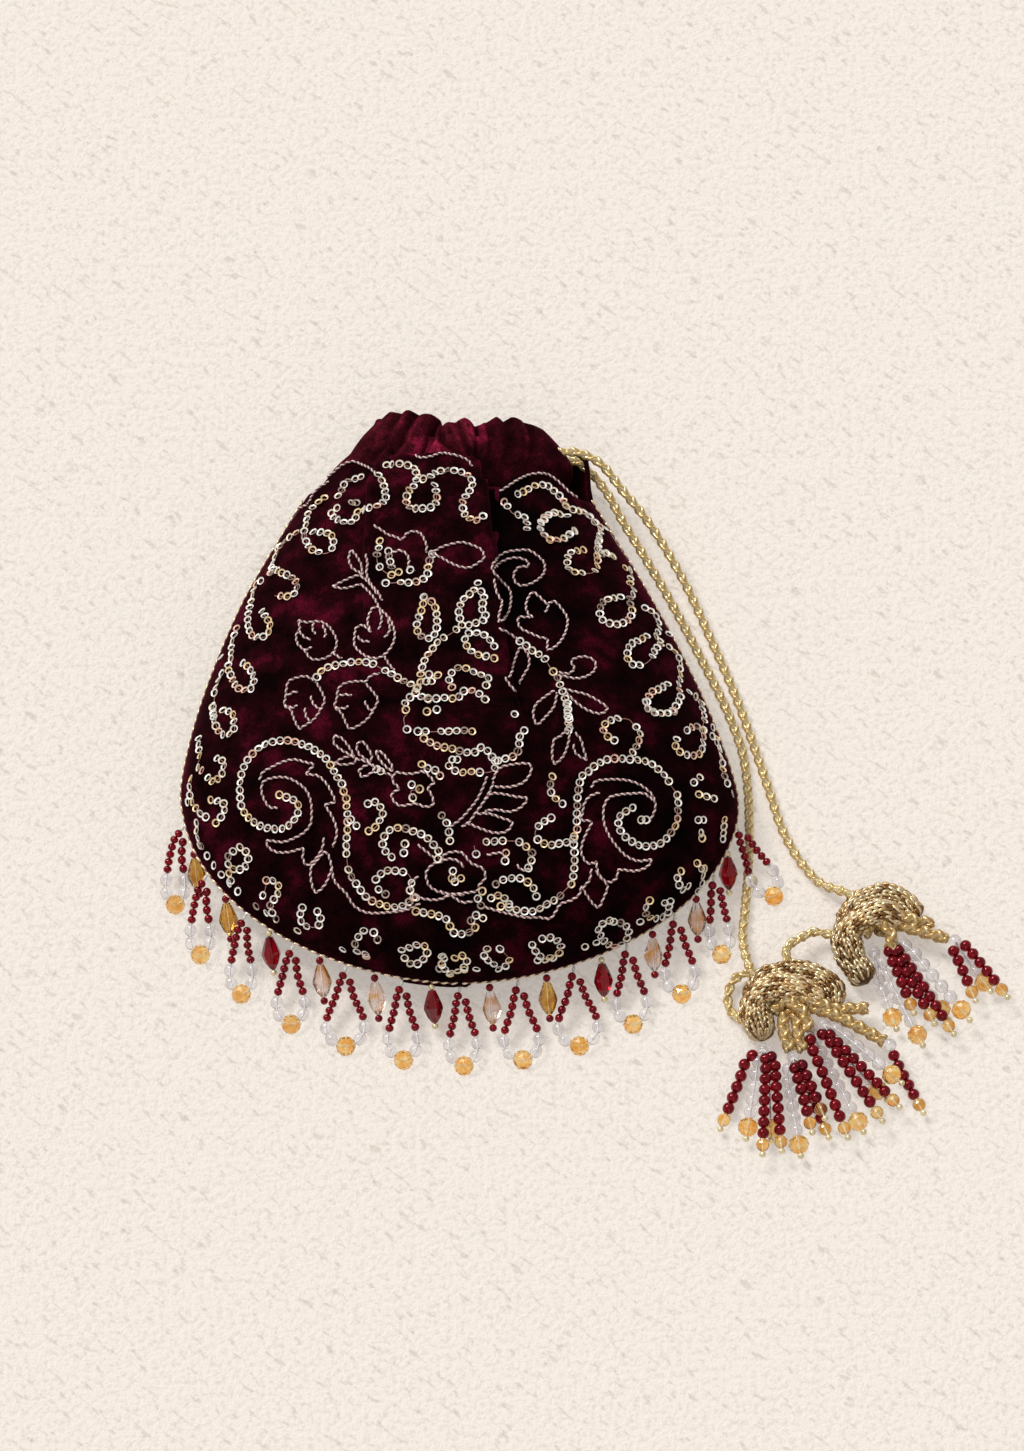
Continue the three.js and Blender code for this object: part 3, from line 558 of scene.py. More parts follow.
pleat = {  # by height: where its folds run, how far they rise, and the dent beside the right one
    "left": ([0, 109, 188], [-40, -31, -26]),
    "right": ([0, 39.5, 64, 92, 128, 188], [30, 36, 29.3, 20.7, 17.4, 12.6]),
    "leftRise": ([105, 150, 188], [0, 2.6, 4.6]), "rightRise": ([58, 92, 128, 188], [0, 2.4, 4.4, 6]),
    "dent": ([70, 120, 150, 188], [0, 1.4, 2.2, 2.2]), "dentWidth": 9,
    "span": 2.4, "full": 2.5, "widest": 0.55,
    # across the fold: how far under it, and the share of its rise
    "under": [3.0, 2.4, 0.7, 0.0, 0.25, 1.1, 2.4], "flat": [0.0, 0.4, 0.8, 1.2, 1.6, 2.0, 2.4],
    "rise": [0.0, 0.12, 0.34, 0.62, 0.86, 0.98, 1.0],
}
topEdge = {  # height of the front panel's upper edge, section by section
    "right": ([15.2, 18.9, 25.2, 29.1, 34.1, 38.6, 43], [176, 178.5, 183.2, 185.3, 184.4, 180.8, 177]),
    "middle": ([-26.6, -24.8, -21.1, -9, -0.6, 7.7, 12.4], [183, 186.5, 188, 187, 188, 186, 183]),
    "left": ([-42, -41, -38.6, -35, -31.6, -28, -25.1], [181, 184, 187, 189.2, 190, 188.6, 186]),
}
foldSteps = len(pleat["rise"])
sections = {
    "right": np.linspace(0, 1, 52)[:-1], "rightFold": np.arange(foldSteps),
    "middle": np.linspace(0, 1, 50)[1:],
    "leftFold": np.arange(foldSteps)[::-1], "left": np.linspace(0, 1, 52)[1:],
}
rowHeights = denser(0.0, bag["length"], 150)
foldedFrom, foldedOver = 138, 50  # above this height the rows bend to the upper edge


def frontColumn(section, place):
    rows = rowHeights
    for _ in range(2):  # the edge's height depends on where the column ends
        half = halfWidth(rows)
        right = np.minimum(np.interp(rows, *pleat["right"]), pleat["widest"] * half)
        left = np.maximum(np.interp(rows, *pleat["left"]), -pleat["widest"] * half)
        rises = {side: np.interp(rows, *pleat[side + "Rise"]) for side in ("right", "left")}
        side = section.removesuffix("Fold")
        sign, fold = (1, right) if side == "right" else (-1, left)
        if section == "middle":
            x = mix(right - pleat["span"], left + pleat["span"], place)
        elif section == side:
            inner = sign * fold - pleat["span"] * clamp01(rises[side])
            edge = np.arccos(clamp01(inner / np.maximum(half, 1e-3)))
            x = sign * half * np.cos((place if side == "right" else 1 - place) * edge)
        else:
            tucked = clamp01(rises[side] / pleat["full"])
            x = fold - sign * mix(pleat["flat"][place], pleat["under"][place], tucked)
        height = np.interp(x[-1], *topEdge[side])
        rows = rowHeights - (bag["length"] - height) * smooth((rowHeights - foldedFrom) / foldedOver)
    angle = np.arccos(np.clip(x / np.maximum(half, 1e-6), -1, 1))
    share = clamp01((x - left) / np.maximum(right - left, 1e-6))
    raised = mix(rises["left"], rises["right"], share)
    if section.endswith("Fold"):
        raised = raised * pleat["rise"][place]
    elif section != "middle":
        raised = 0 * x
    z = seamHeight(rows) + (depthOf("front", rows) + raised) * liftAt(angle, rows)
    if section == "right":
        z -= np.interp(rows, *pleat["dent"]) * bell((x - right) / pleat["dentWidth"])
    return np.stack([x, rows, z], axis=-1), angle


columns = [frontColumn(section, place) for section, places in sections.items() for place in places]
surface, angles = (np.stack(found, axis=1) for found in zip(*columns))  # rows by columns
x, y = surface[..., 0], surface[..., 1]
calm = np.sin(angles) ** 0.5 * smooth(y / 25)
gathers = smooth((y - 128) / 60) * 0.9 * np.sin(x / 1.5 + 2.2 * ripple(x, 0 * y, 9, 3.1))
surface[..., 2] += calm * (1.3 * ripple(x, y, 26, 1.7) + 0.45 * ripple(x, y, 8, 5.2) + gathers)
print("front panel", surface.shape)


def clothPiece(name, points, thickness, outside, material, nodes, napAndPaintedLight=None):
    rows, across = points.shape[:2]
    normals = np.cross(np.gradient(points, axis=1), np.gradient(points, axis=0))
    normals[0] = normals[1].mean(axis=0)
    normals = unit(normals)
    if (normals @ np.array(outside)).mean() < 0:
        normals = -normals
    count = rows * across
    faces = gridFaces(rows, across)
    faces += [tuple(count + i for i in face[::-1]) for face in faces]
    rim = [r * across for r in range(rows)] + [(rows - 1) * across + c for c in range(1, across)]
    rim += [r * across + across - 1 for r in range(rows - 2, -1, -1)]
    faces += [(a, b, count + b, count + a) for a, b in zip(rim, rim[1:])]
    shape = Shape()
    napAndPaintedLight = np.ones(count) if napAndPaintedLight is None else napAndPaintedLight.ravel()
    shape.add(np.concatenate([points.reshape(-1, 3), (points - normals * thickness).reshape(-1, 3)]), faces,
              np.tile(napAndPaintedLight, 2)[:, None] * (1, 1, 1))
    made = makePiece(name, shape, material, nodes, weld=2e-6)
    area = sum(face.area for face in made.data.polygons) / 2
    print(name, "area", round(area, 5))
    return made, area


# Painted light and shade on the front panel: lighter on the left and towards the top, darker towards the
# bottom, and a painted shadow beside the right fold.
clothThickness = 1.4
fromFold = x - np.interp(y, *pleat["right"])
paintedLight = np.interp(x, [-95, -40, 0, 40, 95], [1.3, 1.25, 1.05, 0.75, 0.7])
paintedLight = paintedLight * np.interp(y, [0, 40, 90, 188], [0.65, 0.8, 1.0, 1.2])
isRightOfFold = np.arange(x.shape[1]) < len(sections["right"]) + 4  # up to the fold's crest
# painted shadow beside the right fold, fading in above 84 mm
paintedFoldShadow = np.where(isRightOfFold, bell(np.maximum(fromFold - 6, 0) / 14), 0)
paintedLight = paintedLight * (1 - 0.85 * smooth((y - 84) / 40) * paintedFoldShadow)
surface = askew(surface - [0, bag["bellyAt"], 0])
frontPanel, frontArea = clothPiece("frontPanel", surface, clothThickness, (0, 0, 1), velvet,
                                   ["front_panel"], paintedLight)
panelTree = BVHTree.FromPolygons(surface.reshape(-1, 3).tolist(), gridFaces(*surface.shape[:2]))

yGrid, aGrid = np.meshgrid(denser(0.0, bag["length"], 90), np.linspace(0, math.pi, 90), indexing="ij")
backX = halfWidth(yGrid) * np.cos(aGrid)
backZ = np.maximum(0, seamHeight(yGrid) - 0.15 - depthOf("back", yGrid) * liftAt(aGrid, yGrid))
backZ += np.sin(aGrid) ** 0.5 * smooth(backZ / 6) * (0.8 * ripple(backX, yGrid, 24, 9.4))
hump = bell((backX - 38) / 7) * smooth((yGrid - 150) / 38)  # its right shoulder shows beside the neck
corner = bell((backX + 42) / 6) * smooth((yGrid - 160) / 28)  # its left one is rounded off
backY = yGrid + 11 * hump - 7 * corner - bag["bellyAt"]
backSurface = askew(np.stack([backX + 3 * hump + 3 * corner, backY, backZ], axis=-1))
backPanel, backArea = clothPiece("backPanel", backSurface, clothThickness, (0, 0, -1), velvet,
                                 ["back_panel"])

lining = {"inset": 3.0, "from": 3.5, "to": bag["length"] - 11, "thickness": 0.5}
liningRows = denser(lining["from"], lining["to"], 50)
yGrid, aGrid = np.meshgrid(liningRows, np.linspace(0, fullTurn, 97), indexing="ij")
liningX = halfWidth(yGrid, lining["inset"]) * np.cos(aGrid)
liningDepth = np.where(np.sin(aGrid) >= 0, depthOf("front", yGrid, lining["inset"]),
                       -depthOf("back", yGrid, lining["inset"]))
folded = np.where(aGrid > math.pi, fullTurn - aGrid, aGrid)
liningZ = np.maximum(lining["inset"], seamHeight(yGrid) + liningDepth * liftAt(folded, yGrid))
liningZ += 0.5 * ripple(liningX, yGrid, 14, 2.2) * smooth(liningZ / 8 - 0.4)
liningSurface = np.stack([liningX, yGrid - bag["bellyAt"], liningZ], axis=-1)
clothPiece("liningPouch", askew(liningSurface), lining["thickness"], (0, 0, 1), liningCloth,
           ["lining"])

# Neck casing: a strip folded double over the drawstring, gathered into uneven folds. Its valleys run from
# the panels' edge up to the rim; one runs aslant and makes a flap.
valleys = {  # in pixels across the photograph, at the panels' edge, halfway and at the rim; depth in mm
    "at": [[377, 392, 424, 476, 477.5, 482, 492, 510, 533], [383, 400, 428.5, 441, 463, 478, 489, 508, 533],
           [395, 413, 438, 440.5, 454, 475.7, 487, 505.7, 527.5]],
    "deep": [1.8, 2.5, 4.2, 3.0, 1.8, 4.0, 1.6, 1.8, 1.7], "wide": [5.5, 6, 5, 4, 4, 4.5, 5, 6, 6],
    "behind": math.pi + np.linspace(0.12, math.pi - 0.12, 11), "deepBehind": 2.4,
}
rimLine = (  # the rim in pixels of the photograph
    [378, 386, 395, 405, 414, 429, 437, 441, 452, 464, 474, 480, 490, 497, 505, 514, 523, 533, 543],
    [416, 408.5, 410, 407, 411, 411, 413, 420, 419, 415.5, 420, 421, 417.5, 414, 418, 414, 416, 422, 430])
# painted light on the neck by pixel across: lighter on the left and in the middle, darker to the right
paintedNeckLight = ([345, 380, 420, 428, 440, 470, 478, 484, 510, 535, 560],
            [3.8, 5.4, 5.6, 5.6, 8.4, 7.4, 4.6, 2.5, 2.4, 2.2, 1.2])
around = np.linspace(0, fullTurn, 480, endpoint=False)
isFront = np.sin(around) > 0
neckLow, rimBehind = bag["length"] - 10, neck["rim"] - 2.4


def pixelsAround(share):
    half = mix(bag["shoulder"] / 2 - neck["inset"], neck["mouth"], share**1.2)
    x = half * np.cos(around)
    return (x - 3.2 * clamp01(0.5 - x / bag["shoulder"])) / photo["pixel"] + photo["origin"][0]


def fromValleys(share):
    places = [np.interp(share, [0, 0.5, 1], spots) for spots in zip(*valleys["at"])]
    return np.abs(pixelsAround(share)[:, None] - places) / np.array(valleys["wide"])


def creases(share, sharper=1.0):
    return (bell(fromValleys(share) / sharper, 1.4) * valleys["deep"]).max(axis=1)


def foldDepth(share):
    toBack = (1 + np.cos(around[:, None] - valleys["behind"])) / 2
    return np.where(isFront, creases(share), valleys["deepBehind"] * (toBack**90).max(axis=1))


cosView, sinView = (round(way(view["elevation"]), 4) for way in (math.cos, math.sin))
rimUp = (photo["origin"][1] - np.interp(pixelsAround(1.0), *rimLine)) * photo["pixel"]
rimHeight = (rimUp - (6 + neck["front"] * np.sin(around)) * cosView) / sinView
rimTop = np.where(isFront, mix(rimBehind, rimHeight - 1.3, smooth(np.sin(around) * 5)), rimBehind)
rimTop = np.minimum(rimTop, neck["rim"] + 2.6) + 0.8


def casingLayer(y, inset, gather):
    share = clamp01((np.mean(y) - bag["length"]) / (neck["rim"] - bag["length"]))
    # painted light and shade: a painted highlight beside each valley and painted shade in the valleys
    lit = np.interp(pixelsAround(share), *paintedNeckLight)
    crestHighlight = bell((fromValleys(share) - 1.35) / 0.4).max(axis=1)  # painted highlight beside each valley
    lit = lit * (1 + 0.7 * gather * crestHighlight) * (1 - 0.24 * gather * creases(share, 0.7))
    paintedNeckShading.append(np.maximum(np.where(isFront, lit, 1), 0.15))
    ring = neckRing(np.minimum(y, neck["rim"]), around, inset + gather * foldDepth(share))
    ring[:, 1] = y - bag["bellyAt"]
    strip.append(ring)


paintedNeckShading, strip = [], []
for s in np.linspace(0, 1, 30):  # outside, up to the rim
    y = mix(neckLow, rimTop, s)
    puff = 1.3 * np.sin(math.pi * clamp01((s - 0.25) / 0.75))
    casingLayer(y, -puff, 0.15 + 0.85 * smooth((y - neckLow - 4) / 16))
for s in np.linspace(0.12, 1, 6):  # over the rim
    turn = math.pi * s
    casingLayer(rimTop + 1.3 * math.sin(turn), 1.5 - 1.5 * math.cos(turn), 1.0)
for s in np.linspace(0.06, 1, 14):  # down the inside
    inset = mix(3.0, neck["casing"], smooth(s * 2.2))
    casingLayer(mix(rimTop, neckLow, s), inset, mix(1.0, 0.15, clamp01(s * 1.6)))
for inset, y in ((6.2, neckLow), (6.2, 198.4), (3.7, 198.6), (1.2, 198.4), (1.2, neckLow)):  # the channel
    casingLayer(y + 0 * around, inset, 0.1)
strip = np.stack(strip, axis=0)
strip[..., 2] += 0.7 * ripple(strip[..., 0] + strip[..., 2] * 0.7, strip[..., 1], 7, 4.4)
shape = Shape()
shape.add(askew(strip), loopFaces(*strip.shape[:2]), np.ravel(paintedNeckShading)[:, None] * (1, 1, 1))
makePiece("neckCasing", shape, velvet, ["neck_casing"])
print("cloth made")

# Embroidery: runs cast on to the front panel. Each starts at a pixel of the photograph and goes on in steps.
sequinRuns = [
    "362,478 -9,3 -7,2 -3,7 -4,7",
    "378,476 4,7 3,8 1,7 -4,6 -5,3 -8,2 -6,2 -6,3 -2,6 -7,4 -12,-5 -4,-4 6,-6", "354,504 1,1",
    "387,466 14,-1 8,2 6,3 3,7 3,3 8,-2 7,-5 5,-1 14,0 12,4 6,9 -4,8 -5,7 -2,5 4,12 8,4 5,0 4,-4",
    "417,481 -3,6 -6,5 -2,7 1,8 5,2 13,0 8,-2 3,-5 0,-7 -2,-9",
    "517,495 12,-5 9,-4 9,1 5,4 8,7 4,5 2,5 7,3 11,3 11,9 4,7 -1,7 0,7 -1,6 8,4 7,3",
    "567,517 -13,-2 -9,4 -6,9 8,11 7,2 9,-1 10,-8", "505,503 8,11 12,5 2,11",
    "325,499 -8,6 -6,7 -3,5 0,6 -3,11 2,8 5,8 12,4 6,-2 4,-5 -1,-10 -7,-3 -12,-1",
    "297,534 -6,4 -7,6 -5,7 -3,7 -2,6 -3,13 2,-7 10,4 5,2 10,9 -2,8 -4,4 -9,0 -8,-1",
    "262,582 -5,3 -3,11 -3,12 -2,10 1,11 4,8 12,0 4,-5 1,-7 -4,-6 -4,-7",
    "238,629 -5,16 -1,16 -3,7 3,8 7,13 12,1 4,-10 -5,-11 -6,-5", "223,674 -5,11 -3,13 -1,10 1,10",
    "380,542 -1,7 -2,8 1,7 4,6 11,6 6,-3", "389,552 1,8 2,8",
    "386,584 12,-1 7,1 7,-1 7,-1 8,-5 1,-8 2,-9 2,-5", "413,571 1,1",
    "317,678 6,-7 6,-3 7,-2 7,-1 9,-2 7,0 7,0 8,2 6,3 8,5 8,4 8,5 7,3 7,3",
    "424,598 -1,9 -2,6 -3,8 -1,8 4,8 11,2 4,-7 1,-6 0,-8 -1,-6 -3,-8 -8,-5",
    "462,626 -8,6 -8,5 -7,5 -7,9 -6,8 -3,8 -2,6 0,9 -4,7", "429,675 9,1", "429,682 1,0",
    "416,693 -7,6 -5,8 4,6 -4,5 1,8 2,4", "416,693 5,4 8,3", "427,712 10,-2",
    "478,584 -4,7 -11,10 -4,11 3,14", "474,591 8,2 2,5 -2,11 4,10 -8,4 -9,3", "469,634 9,0 8,3 8,10",
    "469,634 -4,7 4,9 7,5 10,2 8,2", "452,688 -3,-8 4,-8 8,-4 13,5 8,3 6,2 -2,8",
    "420,699 9,0 11,0 9,-1 8,2 4,-7 8,-2 8,2 8,7", "554,514 -10,4 -5,9 8,13 6,2 9,-2 12,-8",
    "583,551 -13,3 -3,6 2,11 4,2 8,1 13,-2 3,-13 -1,-12 2,-9 2,-8 -6,-6 -10,-10 -11,-3 -8,-5",
    "596,557 8,-2 8,3", "624,569 6,3 -1,12 4,8 -5,10 3,6 -2,11 -10,6 -7,0 -10,-4 -3,-8 3,-10 7,-3 11,-2",
    "644,609 7,4 5,6 2,10 -3,10 6,4 -7,8 -4,9 -7,5 -10,1 -6,-6 2,-14 8,-4 9,-5",
    "668,648 6,5 5,10 0,8 0,9 -2,8 3,7 -8,16 -5,3 -14,-1 -6,-3 -1,-7 5,-10 7,-3 9,-5", "688,693 7,5 5,6",
    "520,642 8,6 5,4 7,4 4,3 5,7 3,5 5,7 4,11 2,5 3,9 1,9 2,7 0,9", "377,770 4,2", "412,785 8,5 -9,1 2,7",
    "368,804 6,-2 6,5 3,5 -2,7 -6,9 -6,3", "351,820 6,6",
    "392,857 -5,-4 -4,-7 1,-8 5,-7 14,-3 7,3 8,2 9,5 5,5 7,9 -1,7", "405,844 -1,9",
    "376,879 9,-8 13,0 10,3 4,8 -2,7 4,8 -5,5", "379,889 7,5",
    "224,711 5,1 5,3 1,7 0,6 -1,5 -11,2 -5,-6 -3,-11 -1,-10", "218,759 6,3 1,6 -1,4 -3,5 -7,5 -5,-4",
    "200,739 0,9 1,9 -3,9 5,5", "212,800 11,3 4,4 -3,6 -3,6 -4,4", "192,779 -1,9 1,10 8,14 7,5",
    "198,823 0,9 3,13", "241,847 6,5 2,10 -7,7 -11,-2 -2,-10 5,-6",
    "264,895 2,-8 2,-8 7,2 5,6 -1,6 -8,12 2,7", "303,907 -2,8 2,7 9,5 6,-1 3,-8 -3,-7",
    "364,930 -7,9 -1,10 10,4", "374,932 4,7", "402,949 7,-2 9,-3 9,3 -1,8 -12,9 -9,-7", "442,955 0,9 8,9",
    "228,866 4,14",
    "571,884 2,-8 1,-9 0,-8 0,-9 -1,-11 4,-10 -1,-11 1,-10 0,-8 1,-8 1,-8 3,-8 7,-5 6,-5 12,-6 11,-1 "
    "12,1 9,1 9,2 6,4 7,6 6,7 4,6 4,6 2,6 0,14 -1,10 -6,11 -7,8 -7,4 -6,1 -8,0 -5,-1 -5,-3 -11,-9 -3,-9 "
    "0,-6 5,-5 9,-5", "643,820 0,1", "571,884 -9,9 -5,5 -11,6 -13,7 -14,-1 -10,-3 -8,-1",
    "567,704 1,8 0,8 0,11", "614,741 -10,-7 -1,-7 7,-6 10,-2 9,1 5,6 5,6 0,5 -4,12 -3,4",
    "552,777 -2,7 0,7 6,9 6,4", "551,818 -6,3 -7,6 -3,6 2,6 5,4 8,2 8,-1 9,-2 6,-3", "453,871 -1,11 9,-4",
    "474,846 2,8", "486,842 13,-1 10,0 10,1 11,9 3,4 -3,8 -2,5", "506,853 -1,8",
    "496,884 7,-4 15,-2 8,3 6,5 4,10", "491,898 10,-3 8,9", "482,891 -5,10 4,4",
    "416,911 12,2 12,3 6,3 9,14 16,-2 4,-4 -4,-7 5,-5 7,3", "442,816 4,6 3,11 1,8",
    "418,732 10,0 12,0 12,0 10,-1 10,1",
    "424,739 8,5 8,3 12,2 9,3 13,1 8,-5 8,6 5,7 11,-2 10,-4 3,-9 0,-7 5,-8",
    "449,766 6,5 7,2 13,-1 9,1 9,-2 3,-6 -1,-4", "455,760 1,0", "517,715 0,1", "422,765 6,4 8,2 4,5",
    "644,703 4,7 5,4 14,0 6,-2", "686,731 8,-4 8,4 0,9 -3,14 -11,2 -13,-7 1,-9", "699,704 4,14 -1,13",
    "711,737 5,8 5,18 1,10 4,11", "693,783 6,-5", "698,795 7,2 8,2", "700,820 0,1", "700,833 1,5",
    "723,820 -1,13", "680,871 -4,9 6,9", "697,890 4,-8 0,-12 -5,-7", "649,900 -5,10 6,7 11,-1 8,-8 -5,-6",
    "609,920 -11,6 2,9 9,9 11,-1 8,-10 -4,-9 -11,-3", "542,938 9,-1 9,6 -2,10 -12,6 -10,-8 -4,-7",
    "487,948 -3,10 7,2 8,8 10,-8 -9,-12", "444,957 -2,12 12,2 13,-8 -4,-8 -8,2",
    "280,795 18,8 1,5 -2,9 -5,6 -6,5 -9,1 -14,-2 -11,-7 -6,-6 -4,-9 -1,-9 0,-12 2,-12 3,-7 4,-7 5,-5 "
    "9,-7 12,-4 8,-1 9,1 7,2 8,3 9,5 9,7 6,9 5,9 5,7 2,7 3,9 0,7 1,10 0,12 -1,10 0,7 0,7 1,13 5,12 6,9 "
    "8,10 8,5 14,4 12,0 9,-5 6,-4",
]
ropeRuns = [
    "322,482 12,-9 10,-8 9,-3 7,2 7,3 6,4 3,4", "413,455 8,3 10,-1 8,-3 9,0 8,2 8,3 5,3 3,5",
    "500,492 8,-5 10,-7 9,-4 12,-2 8,1 8,5 8,7 6,6 7,5",
    "374,526 8,5 6,4 7,2 7,3 5,-6 7,-2 7,2 4,7 2,7 -1,5", "393,553 7,-2 6,3 3,6 -1,9",
    "430,555 9,-6 11,-4 12,-2 11,3 9,5 2,8 -5,4 -9,5 -11,-1 -9,-4 -11,-6 -8,-2",
    "351,551 -2,8 3,9 6,4 5,2 -1,-8 -5,-9 -5,-6", "366,555 2,9 -1,9 4,11 8,10 3,7",
    "333,587 10,2 11,-2 7,-2 7,6 6,7 5,9 2,6", "333,587 10,-5 9,-4 8,-2 10,8 7,10",
    "380,608 -6,0 -4,6 -2,9 3,9 -7,-6 -7,2 -2,9 0,9 6,7 9,5 10,0 9,-7 5,-9 1,-8 -3,-11 -4,-6 -6,-6",
    "358,637 4,4 8,1", "379,630 3,-9 -1,-8", "385,638 5,-7 -2,-12",
    "299,621 8,2 9,-1 7,1 6,4 5,7 3,8 -2,9 -6,6 -9,3 -9,-1 -6,-8 -7,-7 -1,-9 3,-5 -1,-9", "300,632 5,6 6,2",
    "314,624 -1,6 3,5", "323,626 3,7 -1,5", "304,651 8,-3", "385,657 4,7 6,7", "333,653 5,4 4,2",
    "314,681 -7,-4 -9,1 -9,4 -2,7 -1,9 -1,8 6,4 3,8 3,7 3,4 5,-3 9,-6 7,-10 4,-9 -3,-9 -6,-10",
    "288,696 5,-3 5,-1", "285,706 8,2 5,-2", "311,697 3,8 7,5", "305,709 2,9 3,3",
    "364,682 -9,0 -10,2 -6,5 -2,11 -2,7 7,7 4,9 4,6 7,-2 11,-8 6,-9 4,-10 -5,-8 -7,-8", "365,683 7,-7 8,-2",
    "340,696 6,-1 6,1", "336,708 7,1 6,-2", "365,702 4,7 4,3",
    "501,622 7,-8 3,-11 -1,-12 -8,-9 -7,-7 -3,-8 5,-8 9,-6 13,-2 10,0 9,6 6,7 0,9 -6,7 -9,5 -9,1 -5,-4 "
    "-1,-7 5,-7 9,-1 0,-4 -8,-4 -9,0 -10,4 -7,5", "494,580 3,14 4,9 -2,13 0,7",
    "533,618 -5,-4 -2,-7 2,-8 5,-6 7,5 7,6 7,-2 7,7 6,10 -1,11 -5,11 -7,7 -7,3", "545,613 3,-6 -1,-3",
    "530,618 -11,0 -1,3 2,7 11,6 9,4 7,2 0,9", "499,629 12,6 9,7",
    "559,673 10,1 5,-5 -3,-7 7,-4 10,0 7,5 -1,8 -8,6 -10,2 -11,-2 -6,-1",
    "509,678 2,-5 4,-13 6,-12 7,7 1,11 -5,9 -5,9", "505,678 6,9 6,7",
    "563,689 11,3 12,3 11,6 10,8 -6,5 -13,-3 -12,-8 -11,-11",
    "554,691 -10,7 -8,7 -3,9 4,11 8,-7 9,-11 3,-14", "335,736 -1,7 7,7 9,5 4,2 -3,-7 -5,-7 -5,-5 -6,-2",
    "360,742 -3,4 2,8 5,4 6,4 2,-5 -3,-7 -5,-7 -4,-1", "376,751 2,6 6,8 8,6 0,-5 -5,-7 -5,-6 -6,-2",
    "334,764 8,-5 11,-2 3,5 -10,3 -12,-1", "359,771 5,-4 7,-2 4,4 -6,6 -7,2 -3,-6",
    "356,759 10,3 12,7 7,4 8,3",
    "393,777 3,-4 9,1 9,0 9,-2 7,5 4,6 -6,5 4,8 1,9 -8,2 -9,-3 -7,1 -9,1 -7,-6 -1,-6 7,-5 -6,-7 0,-5",
    "418,845 10,8 6,5", "591,788 4,-6 12,-2 13,0 12,2 12,6 8,8 3,10 -2,8 -5,9",
    "652,800 -8,-6 -12,0 -12,1 -11,3 -5,8 -1,8 1,10 5,12 7,10 10,10 12,5 13,-1 -5,7 -12,4 -10,-1 -6,0 "
    "-2,8 -7,4 -8,-4 -4,-8 -1,-9", "599,793 -10,4 -5,7 -2,10 -1,6 10,2 -5,11 -4,10 -1,10 6,10 8,0",
    "591,869 -2,11 -6,8 4,8 6,8 5,3 5,-9 4,-12 -4,-6 -8,-9",
    "581,886 -2,8 -8,6 -11,4 -5,8 -5,6 -12,-1 -12,0 -15,-3 -12,-3 -14,-4",
    "554,739 -2,12 2,13 8,-6 5,-11 2,-10 -1,-6 -10,7 -4,1", "575,733 6,8 2,8 3,11 -3,-1 -8,-6 -2,-8",
    "450,827 10,-7 11,-12 6,-8 6,-12 4,-11", "462,827 7,-5 6,-8 6,-8 8,-13 5,-11",
    "493,780 6,-11 12,-4 19,0 1,6 -7,11 -13,5 -16,0", "485,800 6,-6 10,0 15,3 11,2 -7,9 -11,4 -12,-2 -12,1",
    "477,814 12,0 12,4 11,5 -5,8 -12,2 -14,-4 -14,-6",
    "428,884 -2,-11 6,-8 8,-4 4,-6 8,-3 10,1 9,10 12,6 2,9 -6,7 -1,5 -14,3 -12,1 -12,-2 -8,-4 -4,-4",
    "438,863 10,-4 10,2 6,6", "440,891 12,5 10,6 11,-1", "418,876 -7,8 2,10 13,5 14,0 12,-5 12,1",
    "487,855 10,-2 6,0", "517,865 5,5 8,-1",
    "278,808 -8,-1 -6,-9 -2,-9 2,-7 10,-4 13,0 11,5 9,8 4,10 1,11 -1,12 -6,8 -10,6 -12,4 -16,-1 2,6 8,5 "
    "13,0 14,-3 -1,8 4,8 9,-6 7,-12 1,-9",
    "260,780 3,-7 10,-6 11,-5 11,-2 12,3 7,2 -7,9 11,2 8,7 6,10 3,9 -9,3 5,9 5,11 1,10 -4,12",
    "312,866 -1,10 5,16 9,-7 5,-11 2,-6 -6,-16 -10,10 -4,4",
    "332,868 3,13 12,13 7,11 12,7 23,0 19,-3 12,-6",
]
stitch = {"ply": 0.255, "twist": 2.1, "off": 0.22, "lift": 0.42, "step": 0.26, "sides": 5,
          "plies": ((0, (1, 1, 1), 1.15), (math.pi, (0.26, 0.1, 0.12), 0.9))}  # a bright ply and a dark one, the dark ply being painted shade in the gaps of the twist
sequin = {"radius": 1.45, "hole": 0.98, "pitch": 2.7, "lift": 0.55, "sides": 12, "tilt": 0.4, "skip": 0.05,
          "section": (("radius", 0.12), ("radius", 0.3), ("hole", 0.08), ("hole", -0.1))}
sequinTints = [(1, 1, 1)] * 7 + [(1, 0.93, 0.82)] * 3 + [(1, 0.78, 0.48)] * 2
sequinTints += [(0.95, 0.62, 0.5), (0.45, 0.36, 0.32)]
holdThread = {"step": 0.6, "lift": 0.2, "radius": 0.14, "tint": (0.5, 0.28, 0.24)}


def hitOn(start, way):
    spot, normal, _, _ = panelTree.ray_cast(Vector(start), Vector(way))
    return (np.array(spot), np.array(normal)) if spot is not None else None


def unbroken(hits, jump=2.2):
    found, run = [], []
    for hit in hits:
        if run and (hit is None or np.linalg.norm(hit[0] - run[-1][0]) > jump):
            found.append(run)
            run = []
        if hit is not None:
            run.append(hit)
    found.append(run)
    return [tuple(np.array(part) for part in zip(*run)) for run in found if len(run) > 2]


def onPanel(run):
    pixels = np.cumsum([[float(n) for n in step.split(",")] + [0.0] for step in run.split()], axis=0)
    if lengthsOf(pixels)[-1] < 4:  # a pair of sequins
        pixels = pixels[0] + np.array([[-2.5, 0, 0], [2.5, 0, 0]])
    return unbroken([hitOn(eye, rayThrough(u, v)) for u, v, _ in spaced(curveThrough(pixels, 12), 0.8)])


def castDown(spots):
    return unbroken([hitOn((x, y, 300), (0, 0, -1)) for x, y in spots])


